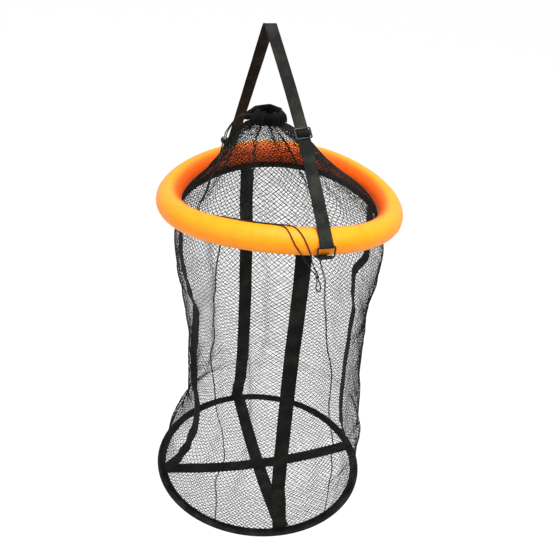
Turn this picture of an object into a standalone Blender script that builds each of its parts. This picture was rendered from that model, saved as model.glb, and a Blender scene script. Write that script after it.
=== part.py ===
"""Hanging keep net with a padded float ring, drawn from the top fold of its carry strap.

The origin is the underside of the strap's top fold, where a hook or peg holds it.
Everything hangs below: the strap's two legs, the float ring, the collar net that a
drawcord closes, the tube of net and the wire hoop that spreads its floor.
Lengths are metres, +Z is up and -Y is the front.
"""
from math import asin, atan2, ceil, cos, hypot, pi, radians, sin, sqrt

import bmesh
import bpy
from mathutils import Matrix, Vector

# Overall frame
RING_DROP = 0.348
RING_SHIFT_X = 0.045
RING_SHIFT_Y = -0.014
NET_DROP = 0.739
CLEARANCE = 0.0003
FULL_TURN = 2 * pi
RING_STEPS = 36

# Float ring: foam tube, sleeve and the binding that closes the sleeve's seam
RING_RADIUS = 0.235
TUBE_RADIUS = 0.0263
RING_WARP = 0.0129
RING_WARP_AZIMUTH = radians(-107)
TUBE_FACETS = 10
SLEEVE_THICKNESS = 0.0008
SEAM_ANGLE = radians(-125)
SEAM_HALF_GAP = 0.0002
SEAM_ALLOWANCE = 0.0105
BINDING_THICKNESS = 0.0008
FOAM_BORE_RADIUS = 0.0060
WIRE_FACETS = 6
FOAM_JOINT_STEP = 4
FOAM_JOINT_GAP = 0.0004
PLUG_HALF_STEPS = 1

# Nets: one thin skin stands for the mesh
NET_THICKNESS = 0.0010
SEAM_SIDE_SHIFT = 0.0012
NET_ROWS = 10
NET_FOLDS = 6
NET_FOLD_DEPTH = 0.0030
NET_LEAN_X = 0.0245
NET_LEAN_Y = -0.0060
NET_RADIUS_SHARES = (
    (0.00, 0.910), (0.08, 0.970), (0.17, 0.945), (0.26, 0.904), (0.35, 0.877),
    (0.46, 0.870), (0.57, 0.868), (0.67, 0.883), (0.75, 0.921), (0.84, 1.010), (1.00, 1.050),
)
NET_LEAN_SHARES = (
    (0.00, 0.00), (0.10, 0.28), (0.26, 0.43), (0.46, 0.82), (0.67, 1.00), (0.78, 0.80),
    (0.86, 0.30), (1.00, 0.00),
)

# Collar net and the hem that the drawcord shuts
COLLAR_STAND_OFF = 0.0012
COLLAR_LEAN_X = -0.039
COLLAR_LEAN_Y = 0.012
HEM_TOP = 0.178
COLLAR_FOOT_ANGLES = (radians(-153), radians(-178))
COLLAR_SHARES = (
    (0.07, 0.830), (0.17, 0.730), (0.28, 0.638), (0.50, 0.474), (0.65, 0.382), (0.78, 0.285),
)
COLLAR_NECK_SHARES = (0.87, 0.90, 0.96)
COLLAR_NECK_FLARE_SHARE = 1.18
PLEATS = 9
COLLAR_PLEAT_DEPTH = 0.0045
HEM_CORD_RADIUS = 0.030
HEM_HEIGHT = 0.017
HEM_THICKNESS = 0.0009
HEM_OUTER_PLEAT = 0.014
HEM_INNER_PLEAT = 0.009
HEM_EXIT_AZIMUTH = radians(-171)
HEM_EXIT_WIDTH = 0.0110
HEM_EXIT_REACH = 0.052
HEM_CORD_STEPS = 26

# Drawcord and its lock. Routes are points on the cord: from the ring's middle where it hangs
# free, (azimuth, level) on the collar, and (azimuth, angle about the tube) on the ring
CORD_RADIUS = 0.0012
CORD_SPACING = 0.0034
CORD_PITCH = 0.0120
TUBE_CORD_PITCH = 0.0080
FREE_ROUTE = ((-0.1010, 0.0070, 0.1680), (-0.1115, 0.0125, 0.1520))
COLLAR_ROUTE = ((-170, 0.0610), (-168, 0.0450), (-163, 0.0290))
TROUGH_MOUTH = (-0.1896, -0.0766, 0.0145)
RING_ROUTE = ((-152, 159), (-145, 150), (-138, 137), (-131, 121), (-125, 111), (-117, 108), (-110, 108))
STRAND_A_FRONT = ((-105.5, 97), (-103.2, 80), (-101.6, 52), (-99.6, 14), (-97, -24))
STRAND_B_FRONT = ((-103.5, 111), (-100, 98), (-98, 72), (-95.8, 38), (-94.2, 6), (-92.6, -28))
STRAND_A_HANG = ((-0.0170, -0.2610, -0.0210), (-0.0070, -0.2640, -0.0360))
STRAND_B_HANG = ((-0.0070, -0.2615, -0.0200), (0.0000, -0.2640, -0.0350))
LOCK_CENTRE = (-0.1242, 0.0110, 0.1209)
LOCK_LOWER_POINT = (-0.1440, -0.0280, 0.0800)
LOCK_FACE = (-0.06, -0.62, 0.78)
LOCK_RADIUS = 0.0076
LOCK_WELL_RADIUS = 0.0046
LOCK_WELL_FLOOR = -0.0052
LOCK_BORE_HALF_HEIGHT = 0.0016
LOCK_BORE_HALF_WIDTH = 0.0034
LOCK_TRAVEL = 0.0014
LOCK_SLIDE_UP = 0.0060
BUTTON_RADIUS = 0.0043
BUTTON_FOOT = -0.0024
BUTTON_TOP = 0.0094
BUTTON_DOME = 0.0012
SPRING_RADIUS = 0.0030
SPRING_WIRE_RADIUS = 0.0002
SPRING_TURNS = 2
SPRING_POINTS_PER_TURN = 10
KNOT_CENTRE = (0.0040, -0.2665, -0.0490)
KNOT_AXIS = (-0.25, 0.02, 0.97)
KNOT_RADIUS = 0.0042
KNOT_LOBE_SHARE = 0.12
KNOT_LOBES = 3
END_LOOP = (
    (0.0050, -0.2668, -0.0620), (0.0040, -0.2670, -0.0710), (0.0075, -0.2670, -0.0790),
    (0.0128, -0.2670, -0.0770), (0.0125, -0.2668, -0.0680),
)

# Carry strap, its tri-glide and the rectangular loops on the ring
WEB_THICKNESS = 0.0014
CARRY_WIDTH = 0.026
STRAP_FOLD_RADIUS = 0.0060
FOLD_STEPS = 6
FRONT_LOOP_AZIMUTH = radians(-86.5)
BACK_LOOP_AZIMUTH = radians(102)
LOOP_WIDTH = 0.038
LOOP_HEIGHT = 0.026
LOOP_BAR_RADIUS = 0.0018
LOOP_CORNER_RADIUS = 0.0040
LOOP_CORNER_STEPS = 3
LOOP_FACETS = 8
LOOP_LIFT = -0.0070
LOOP_STAND_OFF = 0.0058
LEG_BOW = 0.008
LEG_STEPS = 5
TAIL_LENGTH = 0.040
TURN_STEPS = 6
BAR_TURN_STEPS = 8
TURN_END_LENGTH = 0.0030
TRIGLIDE_SHARE = 0.500
TRIGLIDE_WIDTH = 0.034
TRIGLIDE_HEIGHT = 0.022
TRIGLIDE_THICKNESS = 0.0026
TRIGLIDE_BAR = 0.0026
TRIGLIDE_CORNER = 0.0030
TRIGLIDE_SLOT_WIDTH = 0.028
TRIGLIDE_OFFSET = 0.0025
TRIGLIDE_KNEE_INSET = 0.0004
WEAVE_APPROACH = 0.003
RETURN_TAIL = (0.0050, -0.0018)
TAB_START_ANGLE = radians(-104)
TAB_HUG_GAP = 0.0007
TAB_STEPS = 5

# Body straps inside the net, and the floor
BODY_WEB_WIDTH = 0.030
STRAP_STEPS = 14
STRAP_AZIMUTHS = {
    "front": radians(-92), "right": radians(1.7), "back": radians(92), "left": radians(181.7),
}
STRAP_COLUMNS = 3
STRAP_RADIUS_SHARES = {
    "front": ((0.00, 0.901), (0.08, 0.911), (0.21, 0.890), (0.35, 0.858), (0.51, 0.845),
              (0.67, 0.845), (0.78, 0.847), (0.87, 0.860), (0.93, 0.960), (1.00, 1.034)),
    "left": ((0.00, 0.901), (0.10, 0.900), (0.18, 0.868), (0.26, 0.809), (0.32, 0.750),
             (0.40, 0.745), (0.50, 0.757), (0.60, 0.748), (0.72, 0.711), (0.81, 0.723),
             (0.88, 0.785), (0.94, 0.880), (1.00, 1.034)),
    "right": ((0.00, 0.901), (0.09, 0.930), (0.17, 0.938), (0.23, 0.830), (0.31, 0.847),
              (0.38, 0.885), (0.51, 0.877), (0.65, 0.881), (0.78, 0.898), (0.88, 0.932),
              (0.94, 0.985), (1.00, 1.034)),
    "back": ((0.00, 0.901), (0.10, 0.900), (0.30, 0.845), (0.50, 0.815), (0.70, 0.815),
             (0.85, 0.870), (0.93, 0.965), (1.00, 1.034)),
}
HOOP_OUTER_RADIUS = 0.2595
HOOP_WIRE_RADIUS = 0.0022
HOOP_BAND_WIDTH = 0.021
TAPE_THICKNESS = 0.0008
TAPE_TURN_STEPS = 6
TAPE_OPEN_ANGLE = radians(144)
FERRULE_WALL = 0.0007
FERRULE_LENGTH = 0.030
HOOP_JOINT_STEP = 14
FLOOR_SAG = 0.024
FLOOR_PITCH = 0.0700
FLOOR_STRAND = 0.0036
FLOOR_EDGE_TUCK = 0.0040
FLOOR_STRAP_STEPS = 14
CROSSING_RAMP = 0.012

FLOAT_MIDDLE = Vector((RING_SHIFT_X, RING_SHIFT_Y, -RING_DROP))
HOOP_MIDDLE = FLOAT_MIDDLE - Vector((0, 0, NET_DROP))
RING_STEP = FULL_TURN / RING_STEPS
FOAM_RADIUS = TUBE_RADIUS - SLEEVE_THICKNESS - CLEARANCE
FOAM_JOINT_AZIMUTH = FOAM_JOINT_STEP * RING_STEP
SEAM_BOTTOM = TUBE_RADIUS + SEAM_ALLOWANCE + 2 * CLEARANCE + BINDING_THICKNESS
BINDING_INNER_SIDE = SEAM_HALF_GAP + SLEEVE_THICKNESS + CLEARANCE
BINDING_OUTER_SIDE = BINDING_INNER_SIDE + BINDING_THICKNESS
HOOP_JOINT_AZIMUTH = HOOP_JOINT_STEP * RING_STEP
WIRE_SPACE_RADIUS = HOOP_WIRE_RADIUS + 2 * CLEARANCE + FERRULE_WALL
TAPE_TURN_REACH = (WIRE_SPACE_RADIUS + TAPE_THICKNESS / 2) / cos(TAPE_OPEN_ANGLE / TAPE_TURN_STEPS)
WIRE_RING_RADIUS = HOOP_OUTER_RADIUS - TAPE_THICKNESS / 2 - TAPE_TURN_REACH
TAPE_GAP = NET_THICKNESS / 2 + CLEARANCE
TAPE_INNER_RADIUS = HOOP_OUTER_RADIUS - HOOP_BAND_WIDTH

COLOURS = {
    "sleeve_orange": ((0.95, 0.30, 0.02), 0.55, 0.0),
    "foam_white": ((0.85, 0.84, 0.80), 0.80, 0.0),
    "webbing_black": ((0.018, 0.020, 0.018), 0.75, 0.0),
    "net_black": ((0.012, 0.012, 0.013), 0.60, 0.0),
    "cord_black": ((0.012, 0.012, 0.012), 0.65, 0.0),
    "plastic_black": ((0.015, 0.016, 0.018), 0.40, 0.0),
    "steel": ((0.60, 0.60, 0.62), 0.35, 1.0),
}


def material(name):
    """The named material, made on first use."""
    found = bpy.data.materials.get(name)
    if found:
        return found
    colour, roughness, metallic = COLOURS[name]
    made = bpy.data.materials.new(name)
    made.use_nodes = True
    shader = made.node_tree.nodes["Principled BSDF"]
    shader.inputs["Base Color"].default_value = (*colour, 1)
    shader.inputs["Roughness"].default_value = roughness
    shader.inputs["Metallic"].default_value = metallic
    return made


def add_object(name, mesh_data, surface):
    """A named object from a bmesh, faces out and round pieces smooth."""
    bmesh.ops.recalc_face_normals(mesh_data, faces=mesh_data.faces)
    mesh = bpy.data.meshes.new(name)
    mesh_data.to_mesh(mesh)
    mesh_data.free()
    mesh.shade_smooth()
    mesh.set_sharp_from_angle(angle=radians(40))
    made = bpy.data.objects.new(name, mesh)
    bpy.context.scene.collection.objects.link(made)
    mesh.materials.append(material(surface))
    return made


def loft_into(mesh_data, stations, closed=False):
    """Bridge rings of points; the first and last join when closed, and are capped if not."""
    rings = [[mesh_data.verts.new(point) for point in station] for station in stations]
    following = rings[1:] + rings[:1] if closed else rings[1:]
    for near, far in zip(rings, following):
        for i in range(len(near)):
            j = (i + 1) % len(near)
            mesh_data.faces.new((near[i], near[j], far[j], far[i]))
    if not closed:
        mesh_data.faces.new(rings[0])
        mesh_data.faces.new(rings[-1])


def loft(name, stations, surface, closed=False):
    """One solid lofted through its stations."""
    mesh_data = bmesh.new()
    loft_into(mesh_data, stations, closed)
    return add_object(name, mesh_data, surface)


def azimuths(steps=RING_STEPS):
    """Evenly spaced azimuths round the whole ring."""
    return [FULL_TURN * i / steps for i in range(steps)]


def spread(start, end, steps):
    """Values from start to end, both included."""
    return [start + (end - start) * i / steps for i in range(steps + 1)]


def along(table, share):
    """A smooth value from a table of (share, value) pairs."""
    for (low, first), (high, second) in zip(table, table[1:]):
        if share <= high:
            part = max(0, (share - low) / (high - low))
            ease = part * part * (3 - 2 * part)
            return first + (second - first) * ease
    return table[-1][1]


def ring_height(azimuth):
    """Height of the float tube's centreline, which saddles as it hangs."""
    return -RING_DROP + RING_WARP * cos(2 * (azimuth - RING_WARP_AZIMUTH))


def outward(azimuth):
    """Unit vector away from the ring's axis."""
    return Vector((cos(azimuth), sin(azimuth), 0))


def sideways(azimuth):
    """Unit vector along the ring, anticlockwise from above."""
    return Vector((-sin(azimuth), cos(azimuth), 0))


def facet_share(azimuth):
    """How far inside their true circle the ring's straight facets run at an azimuth."""
    return cos(RING_STEP / 2) / cos(azimuth % RING_STEP - RING_STEP / 2)


def at_ring(azimuth, radius, height):
    """A point by azimuth and radius about the ring's axis, and height above the origin."""
    return Vector((RING_SHIFT_X, RING_SHIFT_Y, height)) + outward(azimuth) * radius


def tube_point(azimuth, angle, reach):
    """A point about the float tube: angle 0 is outward and a right angle is up."""
    radius = (RING_RADIUS + reach * cos(angle)) * facet_share(azimuth)
    return at_ring(azimuth, radius, ring_height(azimuth) + reach * sin(angle))


def tube_run(azimuth):
    """Unit vector along the float tube's centreline."""
    slope = -2 * RING_WARP * sin(2 * (azimuth - RING_WARP_AZIMUTH))
    return (sideways(azimuth) * RING_RADIUS + Vector((0, 0, slope))).normalized()


def seam_point(azimuth, depth, side):
    """A point in the seam's own frame: depth from the tube's centre, side towards the outside."""
    radius = RING_RADIUS + depth * cos(SEAM_ANGLE) - side * sin(SEAM_ANGLE)
    height = ring_height(azimuth) + depth * sin(SEAM_ANGLE) + side * cos(SEAM_ANGLE)
    return at_ring(azimuth, radius * facet_share(azimuth), height)


def skin(line, thickness):
    """A closed outline that thickens an open line of (x, y) points to both sides."""
    left, right = [], []
    for i, point in enumerate(line):
        before = Vector(line[max(i - 1, 0)])
        here = Vector(point)
        after = Vector(line[min(i + 1, len(line) - 1)])
        into = (here - before).normalized() if i else (after - here).normalized()
        out = (after - here).normalized() if i < len(line) - 1 else into
        middle = (into + out).normalized()
        normal = Vector((-middle.y, middle.x))
        reach = thickness / 2 / max(middle.dot(into), 0.5)
        left.append(here + normal * reach)
        right.append(here - normal * reach)
    return left + right[::-1]


def ribbon(name, centres, width_directions, width, surface="webbing_black"):
    """Webbing: a flat section carried along its centre points."""
    stations = []
    for i, centre in enumerate(centres):
        into = (centre - centres[i - 1]).normalized() if i else (centres[1] - centre).normalized()
        out = (centres[i + 1] - centre).normalized() if i < len(centres) - 1 else into
        run = (into + out).normalized()
        across = width_directions[i] - run * width_directions[i].dot(run)
        across.normalize()
        normal = across.cross(run)
        reach = WEB_THICKNESS / 2 / max(run.dot(into), 0.5)
        half = across * (width / 2)
        lift = normal * reach
        stations.append([centre - half - lift, centre + half - lift, centre + half + lift, centre - half + lift])
    return loft(name, stations, surface)


def arc(centre, radius, start, end, steps):
    """Points on an arc about centre, in the plane of a two-number vector."""
    return [centre + Vector((cos(a), sin(a))) * radius for a in spread(start, end, steps)]


def tangent(first, first_radius, second, second_radius, turn):
    """Touch points of a line that both circles meet; radii are signed by the side they lie on."""
    apart = second - first
    ahead = apart.normalized()
    lean = (first_radius - second_radius) / apart.length
    normal = ahead * lean + Vector((-ahead.y, ahead.x)) * turn * sqrt(1 - lean * lean)
    return first + normal * first_radius, second + normal * second_radius


def angle_about(centre, point):
    """The angle of point seen from centre."""
    return atan2(point.y - centre.y, point.x - centre.x)


def tube_stations(points, radius, facets):
    """Rings of a round section along points, carried without twist."""
    stations = []
    side = None
    for i, point in enumerate(points):
        run = (points[min(i + 1, len(points) - 1)] - points[max(i - 1, 0)]).normalized()
        if side is None:
            side = run.orthogonal()
        side = (side - run * side.dot(run)).normalized()
        other = run.cross(side)
        turns = [FULL_TURN * k / facets for k in range(facets)]
        stations.append([point + (side * cos(a) + other * sin(a)) * radius for a in turns])
    return stations


def cut(target, cutter):
    """Take cutter out of target and keep it as a hidden guide that follows it."""
    cutter.hide_render = True
    cutter.display_type = "WIRE"
    cutter.parent = target
    step = target.modifiers.new("cut", "BOOLEAN")
    step.operation = "DIFFERENCE"
    step.object = cutter


def box(name, frame, low, high, surface="plastic_black"):
    """A box between two corners of a frame."""
    corners = []
    for z in (low[2], high[2]):
        corners.append([frame @ Vector((x, y, z)) for x, y in (
            (low[0], low[1]), (high[0], low[1]), (high[0], high[1]), (low[0], high[1]))])
    return loft(name, corners, surface)


def axes_frame(origin, x_axis, z_hint):
    """A frame at origin with X along x_axis and Z as near z_hint as it can be."""
    x = x_axis.normalized()
    z = (z_hint - x * z_hint.dot(x)).normalized()
    y = z.cross(x)
    frame = Matrix((x, y, z)).transposed().to_4x4()
    frame.translation = origin
    return frame


def smooth_route(points, spacing):
    """A smooth curve through the route's own points, with more between them at the spacing."""
    route = [points[0]]
    padded = [2 * points[0] - points[1], *points, 2 * points[-1] - points[-2]]
    for a, b, c, d in zip(padded, padded[1:], padded[2:], padded[3:]):
        pieces = max(1, round((c - b).length / spacing))
        for k in range(1, pieces + 1):
            t = k / pieces
            route.append((2 * b + (c - a) * t + (2 * a - 5 * b + 4 * c - d) * t**2
                          + (3 * b - a - 3 * c + d) * t**3) / 2)
    return route


def cord(name, points):
    """A cord as a bevelled curve with filled caps."""
    curve = bpy.data.curves.new(name, "CURVE")
    curve.dimensions = "3D"
    curve.bevel_depth = CORD_RADIUS
    curve.bevel_resolution = 2
    curve.use_fill_caps = True
    spline = curve.splines.new("POLY")
    spline.points.add(len(points) - 1)
    for spot, point in zip(spline.points, points):
        spot.co = (*point, 1)
    made = bpy.data.objects.new(name, curve)
    bpy.context.scene.collection.objects.link(made)
    curve.materials.append(material("cord_black"))
    return made


def loft_pipe(name, turns, place, reaches, surface):
    """An open pipe along the azimuths: outer and inner walls joined by a flat ring at each end."""
    mesh_data = bmesh.new()
    angles = [SEAM_ANGLE + FULL_TURN * k / TUBE_FACETS for k in range(TUBE_FACETS)]
    walls = [[[mesh_data.verts.new(place(a, b, reach)) for b in angles] for a in turns] for reach in reaches]
    strips = [pair for wall in walls for pair in zip(wall, wall[1:])]
    strips += [(walls[0][end], walls[1][end]) for end in (0, -1)]
    for near, far in strips:
        for i in range(TUBE_FACETS):
            j = (i + 1) % TUBE_FACETS
            mesh_data.faces.new((near[i], near[j], far[j], far[i]))
    return add_object(name, mesh_data, surface)


def butted_turns(joint, half_gap):
    """Azimuths once round from a butt joint to itself, on the ring's own steps between."""
    between = [joint + RING_STEP * k for k in range(1, RING_STEPS)]
    return [joint + half_gap, *between, joint + FULL_TURN - half_gap]


def float_foam():
    """The foam tube, bent round until its ends nearly meet, with its bore."""
    gap = FOAM_JOINT_GAP / RING_RADIUS / 2
    turns = butted_turns(FOAM_JOINT_AZIMUTH, gap)
    return loft_pipe("float_foam", turns, tube_point, (FOAM_RADIUS, FOAM_BORE_RADIUS), "foam_white")


def float_foam_plug():
    """The rod that joins the foam tube's two ends inside its bore."""
    reach = FOAM_BORE_RADIUS - CLEARANCE / cos(pi / TUBE_FACETS)
    angles = [SEAM_ANGLE + FULL_TURN * k / TUBE_FACETS for k in range(TUBE_FACETS)]
    turns = [FOAM_JOINT_AZIMUTH + RING_STEP * k for k in range(-PLUG_HALF_STEPS, PLUG_HALF_STEPS + 1)]
    return loft("float_foam_plug", [[tube_point(a, b, reach) for b in angles] for a in turns], "foam_white")


def sleeve_outline():
    """The sleeve's section as (angle or seam) points: round the tube, with two seam lips."""
    def arc_points(reach, offset):
        start = SEAM_ANGLE + asin(offset / reach)
        end = SEAM_ANGLE + FULL_TURN - asin(offset / reach)
        step = FULL_TURN / TUBE_FACETS
        between = [SEAM_ANGLE + step * k for k in range(1, TUBE_FACETS)]
        return [start, *between, end]
    inner_reach = TUBE_RADIUS - SLEEVE_THICKNESS
    outer = arc_points(TUBE_RADIUS, SEAM_HALF_GAP + SLEEVE_THICKNESS)
    inner = arc_points(inner_reach, SEAM_HALF_GAP)
    return outer, inner, inner_reach


def float_sleeve():
    """The orange cover, sewn shut by a seam whose lips run into the binding."""
    outer, inner, inner_reach = sleeve_outline()
    lip = TUBE_RADIUS + SEAM_ALLOWANCE
    far_side = SEAM_HALF_GAP + SLEEVE_THICKNESS
    stations = []
    for a in azimuths():
        station = [tube_point(a, b, TUBE_RADIUS) for b in outer]
        station.append(seam_point(a, lip, -far_side))
        station.append(seam_point(a, lip, -SEAM_HALF_GAP))
        station.extend(tube_point(a, b, inner_reach) for b in reversed(inner))
        station.append(seam_point(a, lip, SEAM_HALF_GAP))
        station.append(seam_point(a, lip, far_side))
        stations.append(station)
    return loft("float_sleeve", stations, "sleeve_orange", closed=True)


def ring_binding():
    """The folded tape that holds the sleeve's lips, the collar net and the side net."""
    outer = BINDING_OUTER_SIDE
    inner = BINDING_INNER_SIDE
    top = TUBE_RADIUS + CLEARANCE
    floor = SEAM_BOTTOM - BINDING_THICKNESS
    outline = (
        (top, -outer), (SEAM_BOTTOM, -outer), (SEAM_BOTTOM, outer), (top, outer),
        (top, inner), (floor, inner), (floor, -inner), (top, -inner),
    )
    stations = [[seam_point(a, depth, side) for depth, side in outline] for a in azimuths()]
    return loft("ring_binding", stations, "webbing_black", closed=True)


def collar_line(azimuth):
    """The collar net's section as (radius, height above the ring's plane), foot to neck."""
    reach = TUBE_RADIUS + COLLAR_STAND_OFF + NET_THICKNESS / 2
    rise = ring_height(azimuth) + RING_DROP
    foot = SEAM_ANGLE - asin((BINDING_OUTER_SIDE + 2 * CLEARANCE) / reach)
    line = [(RING_RADIUS + reach * cos(b), rise + reach * sin(b)) for b in (foot, *COLLAR_FOOT_ANGLES)]
    for level_share, radius_share in COLLAR_SHARES:
        line.append((radius_share * RING_RADIUS, level_share * HEM_TOP + rise * (1 - level_share)))
    low, middle, top = (share * HEM_TOP for share in COLLAR_NECK_SHARES)
    line.append((HEM_CORD_RADIUS * COLLAR_NECK_FLARE_SHARE, low))
    line.append((HEM_CORD_RADIUS, middle))
    line.append((HEM_CORD_RADIUS, top))
    return line


def collar_point(azimuth, radius, level):
    """A point on the collar, whose centre leans over as it rises."""
    rise_share = level / HEM_TOP / COLLAR_NECK_SHARES[0]
    lean = Vector((COLLAR_LEAN_X, COLLAR_LEAN_Y, 0)) * max(0, min(1, rise_share))
    return at_ring(azimuth, radius, level - RING_DROP) + lean


def collar_net():
    """The net cone from the ring to the drawn neck, pleated towards the top."""
    stations = []
    for a in azimuths():
        outline = skin(collar_line(a), NET_THICKNESS)
        station = []
        for radius, level in outline:
            height_share = max(0, level / HEM_TOP)
            swell = sin(pi * min(1, height_share / COLLAR_NECK_SHARES[0])) if height_share else 0
            pleat = COLLAR_PLEAT_DEPTH * swell * height_share * (1 + cos(PLEATS * a)) / 2
            station.append(collar_point(a, radius + pleat, level))
        stations.append(station)
    return loft("collar_net", stations, "net_black", closed=True)


def hem_wave(azimuth):
    """Pleat wave of the drawn hem, 0 in a valley and 1 on a crest."""
    return (1 + cos(PLEATS * (azimuth - HEM_EXIT_AZIMUTH) + pi)) / 2


def collar_hem():
    """The gathered cord channel: a folded band with pleats, open where the cord leaves."""
    half_gap = HEM_EXIT_WIDTH / HEM_CORD_RADIUS / 2
    start = HEM_EXIT_AZIMUTH + half_gap
    stations = []
    room = CORD_RADIUS + CLEARANCE
    for a in spread(start, start + FULL_TURN - 2 * half_gap, RING_STEPS):
        outer_foot = HEM_CORD_RADIUS + room + HEM_THICKNESS / 2 + HEM_OUTER_PLEAT * hem_wave(a)
        inner_foot = HEM_CORD_RADIUS - room - HEM_THICKNESS / 2 - HEM_INNER_PLEAT * hem_wave(a)
        shoulder = HEM_TOP - HEM_THICKNESS / 2
        line = [
            (outer_foot, HEM_TOP - HEM_HEIGHT),
            (outer_foot, shoulder - room),
            (HEM_CORD_RADIUS + room / 2 + HEM_OUTER_PLEAT * hem_wave(a) / 2, shoulder),
            (HEM_CORD_RADIUS - room / 2 - HEM_INNER_PLEAT * hem_wave(a) / 2, shoulder),
            (inner_foot, shoulder - room),
            (inner_foot, HEM_TOP - HEM_HEIGHT),
        ]
        stations.append([hem_point(a, r, z) for r, z in skin(line, HEM_THICKNESS)])
    return loft("collar_hem", stations, "webbing_black")


def hem_point(azimuth, radius, level):
    """A point about the hem's own leaning axis."""
    lean = Vector((COLLAR_LEAN_X, COLLAR_LEAN_Y, 0))
    return at_ring(azimuth, radius, level - RING_DROP) + lean


def cord_level():
    """Height of the drawcord's centre in the hem above the ring's plane."""
    return HEM_TOP - HEM_THICKNESS - 2 * CLEARANCE - CORD_RADIUS


def exit_point(side, reach):
    """Where a strand leaves the hem; side is 1 for strand A, at the back, and -1 for B."""
    across = -sideways(HEM_EXIT_AZIMUTH) * side * CORD_SPACING / 2
    return hem_point(HEM_EXIT_AZIMUTH, reach, cord_level()) + across


def drawcord_in_hem():
    """The drawcord's run round inside the hem, out through the gap at both ends."""
    turn = HEM_EXIT_WIDTH / HEM_CORD_RADIUS
    start = HEM_EXIT_AZIMUTH + turn
    round_run = [hem_point(a, HEM_CORD_RADIUS, cord_level())
                 for a in spread(start, start + FULL_TURN - 2 * turn, HEM_CORD_STEPS)]
    knee = HEM_CORD_RADIUS + CORD_SPACING / 2
    lead_b = [exit_point(-1, HEM_EXIT_REACH), exit_point(-1, knee)]
    lead_a = [exit_point(1, knee), exit_point(1, HEM_EXIT_REACH)]
    return cord("drawcord_in_hem", lead_b + round_run + lead_a)


def lock_frame():
    """The cord lock's frame: X up the strands, Z out of the button."""
    centre = FLOAT_MIDDLE + Vector(LOCK_CENTRE)
    up_the_cord = Vector(LOCK_CENTRE) - Vector(LOCK_LOWER_POINT)
    return axes_frame(centre, up_the_cord, Vector(LOCK_FACE))


def knot_frame():
    """The end knot's frame: X up the strands, Z to the front."""
    centre = FLOAT_MIDDLE + Vector(KNOT_CENTRE)
    return axes_frame(centre, Vector(KNOT_AXIS), Vector((0, -1, 0)))


def beside_collar(azimuth, level):
    """A cord's place and the way out where it lies on the collar."""
    a = radians(azimuth)
    outline = collar_line(a)
    for (far_r, low), (near_r, high) in zip(outline, outline[1:]):
        if low <= level <= high:
            radius = far_r + (near_r - far_r) * (level - low) / (high - low)
            slope = Vector((high - low, far_r - near_r)).normalized()
    stand_off = COLLAR_PLEAT_DEPTH * level / HEM_TOP + NET_THICKNESS / 2 + CLEARANCE + CORD_RADIUS
    normal = outward(a) * slope.x + Vector((0, 0, slope.y))
    return collar_point(a, radius, level) + normal * stand_off, normal


def along_tube(route, side=0):
    """A cord's points where it lies on the float ring, closely spaced; side sets a pair apart."""
    reach = TUBE_RADIUS + CLEARANCE + CORD_RADIUS
    apart = side * CORD_SPACING / 2 / reach
    stops = [(radians(azimuth), radians(angle) - apart) for azimuth, angle in route]
    points = [tube_point(*stops[0], reach)]
    for (azimuth, angle), (next_azimuth, next_angle) in zip(stops, stops[1:]):
        length = hypot(RING_RADIUS * (next_azimuth - azimuth), TUBE_RADIUS * (next_angle - angle))
        pieces = ceil(length / TUBE_CORD_PITCH)
        for a, b in list(zip(spread(azimuth, next_azimuth, pieces), spread(angle, next_angle, pieces)))[1:]:
            points.append(tube_point(a, b, reach))
    return points


def paired_route(side):
    """One strand's points from the hem to the ring; the two strands run side by side."""
    lock = lock_frame()
    face = lock.col[2].xyz
    up = Vector((0, 0, 1))
    way_out = outward(HEM_EXIT_AZIMUTH)
    start = hem_point(HEM_EXIT_AZIMUTH, HEM_EXIT_REACH + CLEARANCE, cord_level())
    upper = LOCK_RADIUS + LOCK_SLIDE_UP
    lower = (Vector(LOCK_CENTRE) - Vector(LOCK_LOWER_POINT)).length
    in_lock = [lock @ Vector((x, 0, 0)) for x in (upper + CORD_SPACING, upper, 2 * CORD_SPACING - lower, -lower)]
    stops = [(start, up), (start + way_out * CORD_SPACING, up)]
    stops += [(FLOAT_MIDDLE + Vector(p), up + face) for p in FREE_ROUTE]
    stops += [(spot, face) for spot in in_lock]
    stops += [beside_collar(*p) for p in COLLAR_ROUTE]
    stops += [(FLOAT_MIDDLE + Vector(TROUGH_MOUTH), up)]
    after = along_tube(RING_ROUTE)[0]
    spots = [spot for spot, _ in stops]
    runs = [far - near for near, far in zip(spots, [*spots[2:], after])]
    runs = [way_out, *runs]
    points = []
    for (spot, normal), run in zip(stops, runs):
        straight = -lock.col[0].xyz if spot in in_lock else run
        points.append(spot + straight.cross(normal).normalized() * side * CORD_SPACING / 2)
    return points + along_tube(RING_ROUTE, side)


def strands():
    """The drawcord's two free strands, through the lock, over the ring and down to the knot."""
    knot = knot_frame()
    reach = KNOT_RADIUS * (1 + KNOT_LOBE_SHARE) + CLEARANCE
    for name, side, front, hang in (
        ("drawcord_strand_a", 1, STRAND_A_FRONT, STRAND_A_HANG),
        ("drawcord_strand_b", -1, STRAND_B_FRONT, STRAND_B_HANG),
    ):
        route = paired_route(side)
        route += along_tube(front)
        route += [FLOAT_MIDDLE + Vector(p) for p in hang]
        across = side * CORD_SPACING / 2
        route.append(knot @ Vector((reach + CORD_SPACING, across, 0)))
        route.append(knot @ Vector((reach, across, 0)))
        cord(name, smooth_route(route, CORD_PITCH))


def end_loop():
    """The short loop below the knot that a finger pulls."""
    knot = knot_frame()
    reach = KNOT_RADIUS * (1 + KNOT_LOBE_SHARE) + CLEARANCE
    half = CORD_SPACING / 2
    start = [knot @ Vector((-reach, half, 0)), knot @ Vector((-reach - CORD_SPACING, half, 0))]
    finish = [knot @ Vector((-reach - CORD_SPACING, -half, 0)), knot @ Vector((-reach, -half, 0))]
    route = start + [FLOAT_MIDDLE + Vector(p) for p in END_LOOP] + finish
    return cord("drawcord_end_loop", smooth_route(route, CORD_SPACING))


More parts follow.
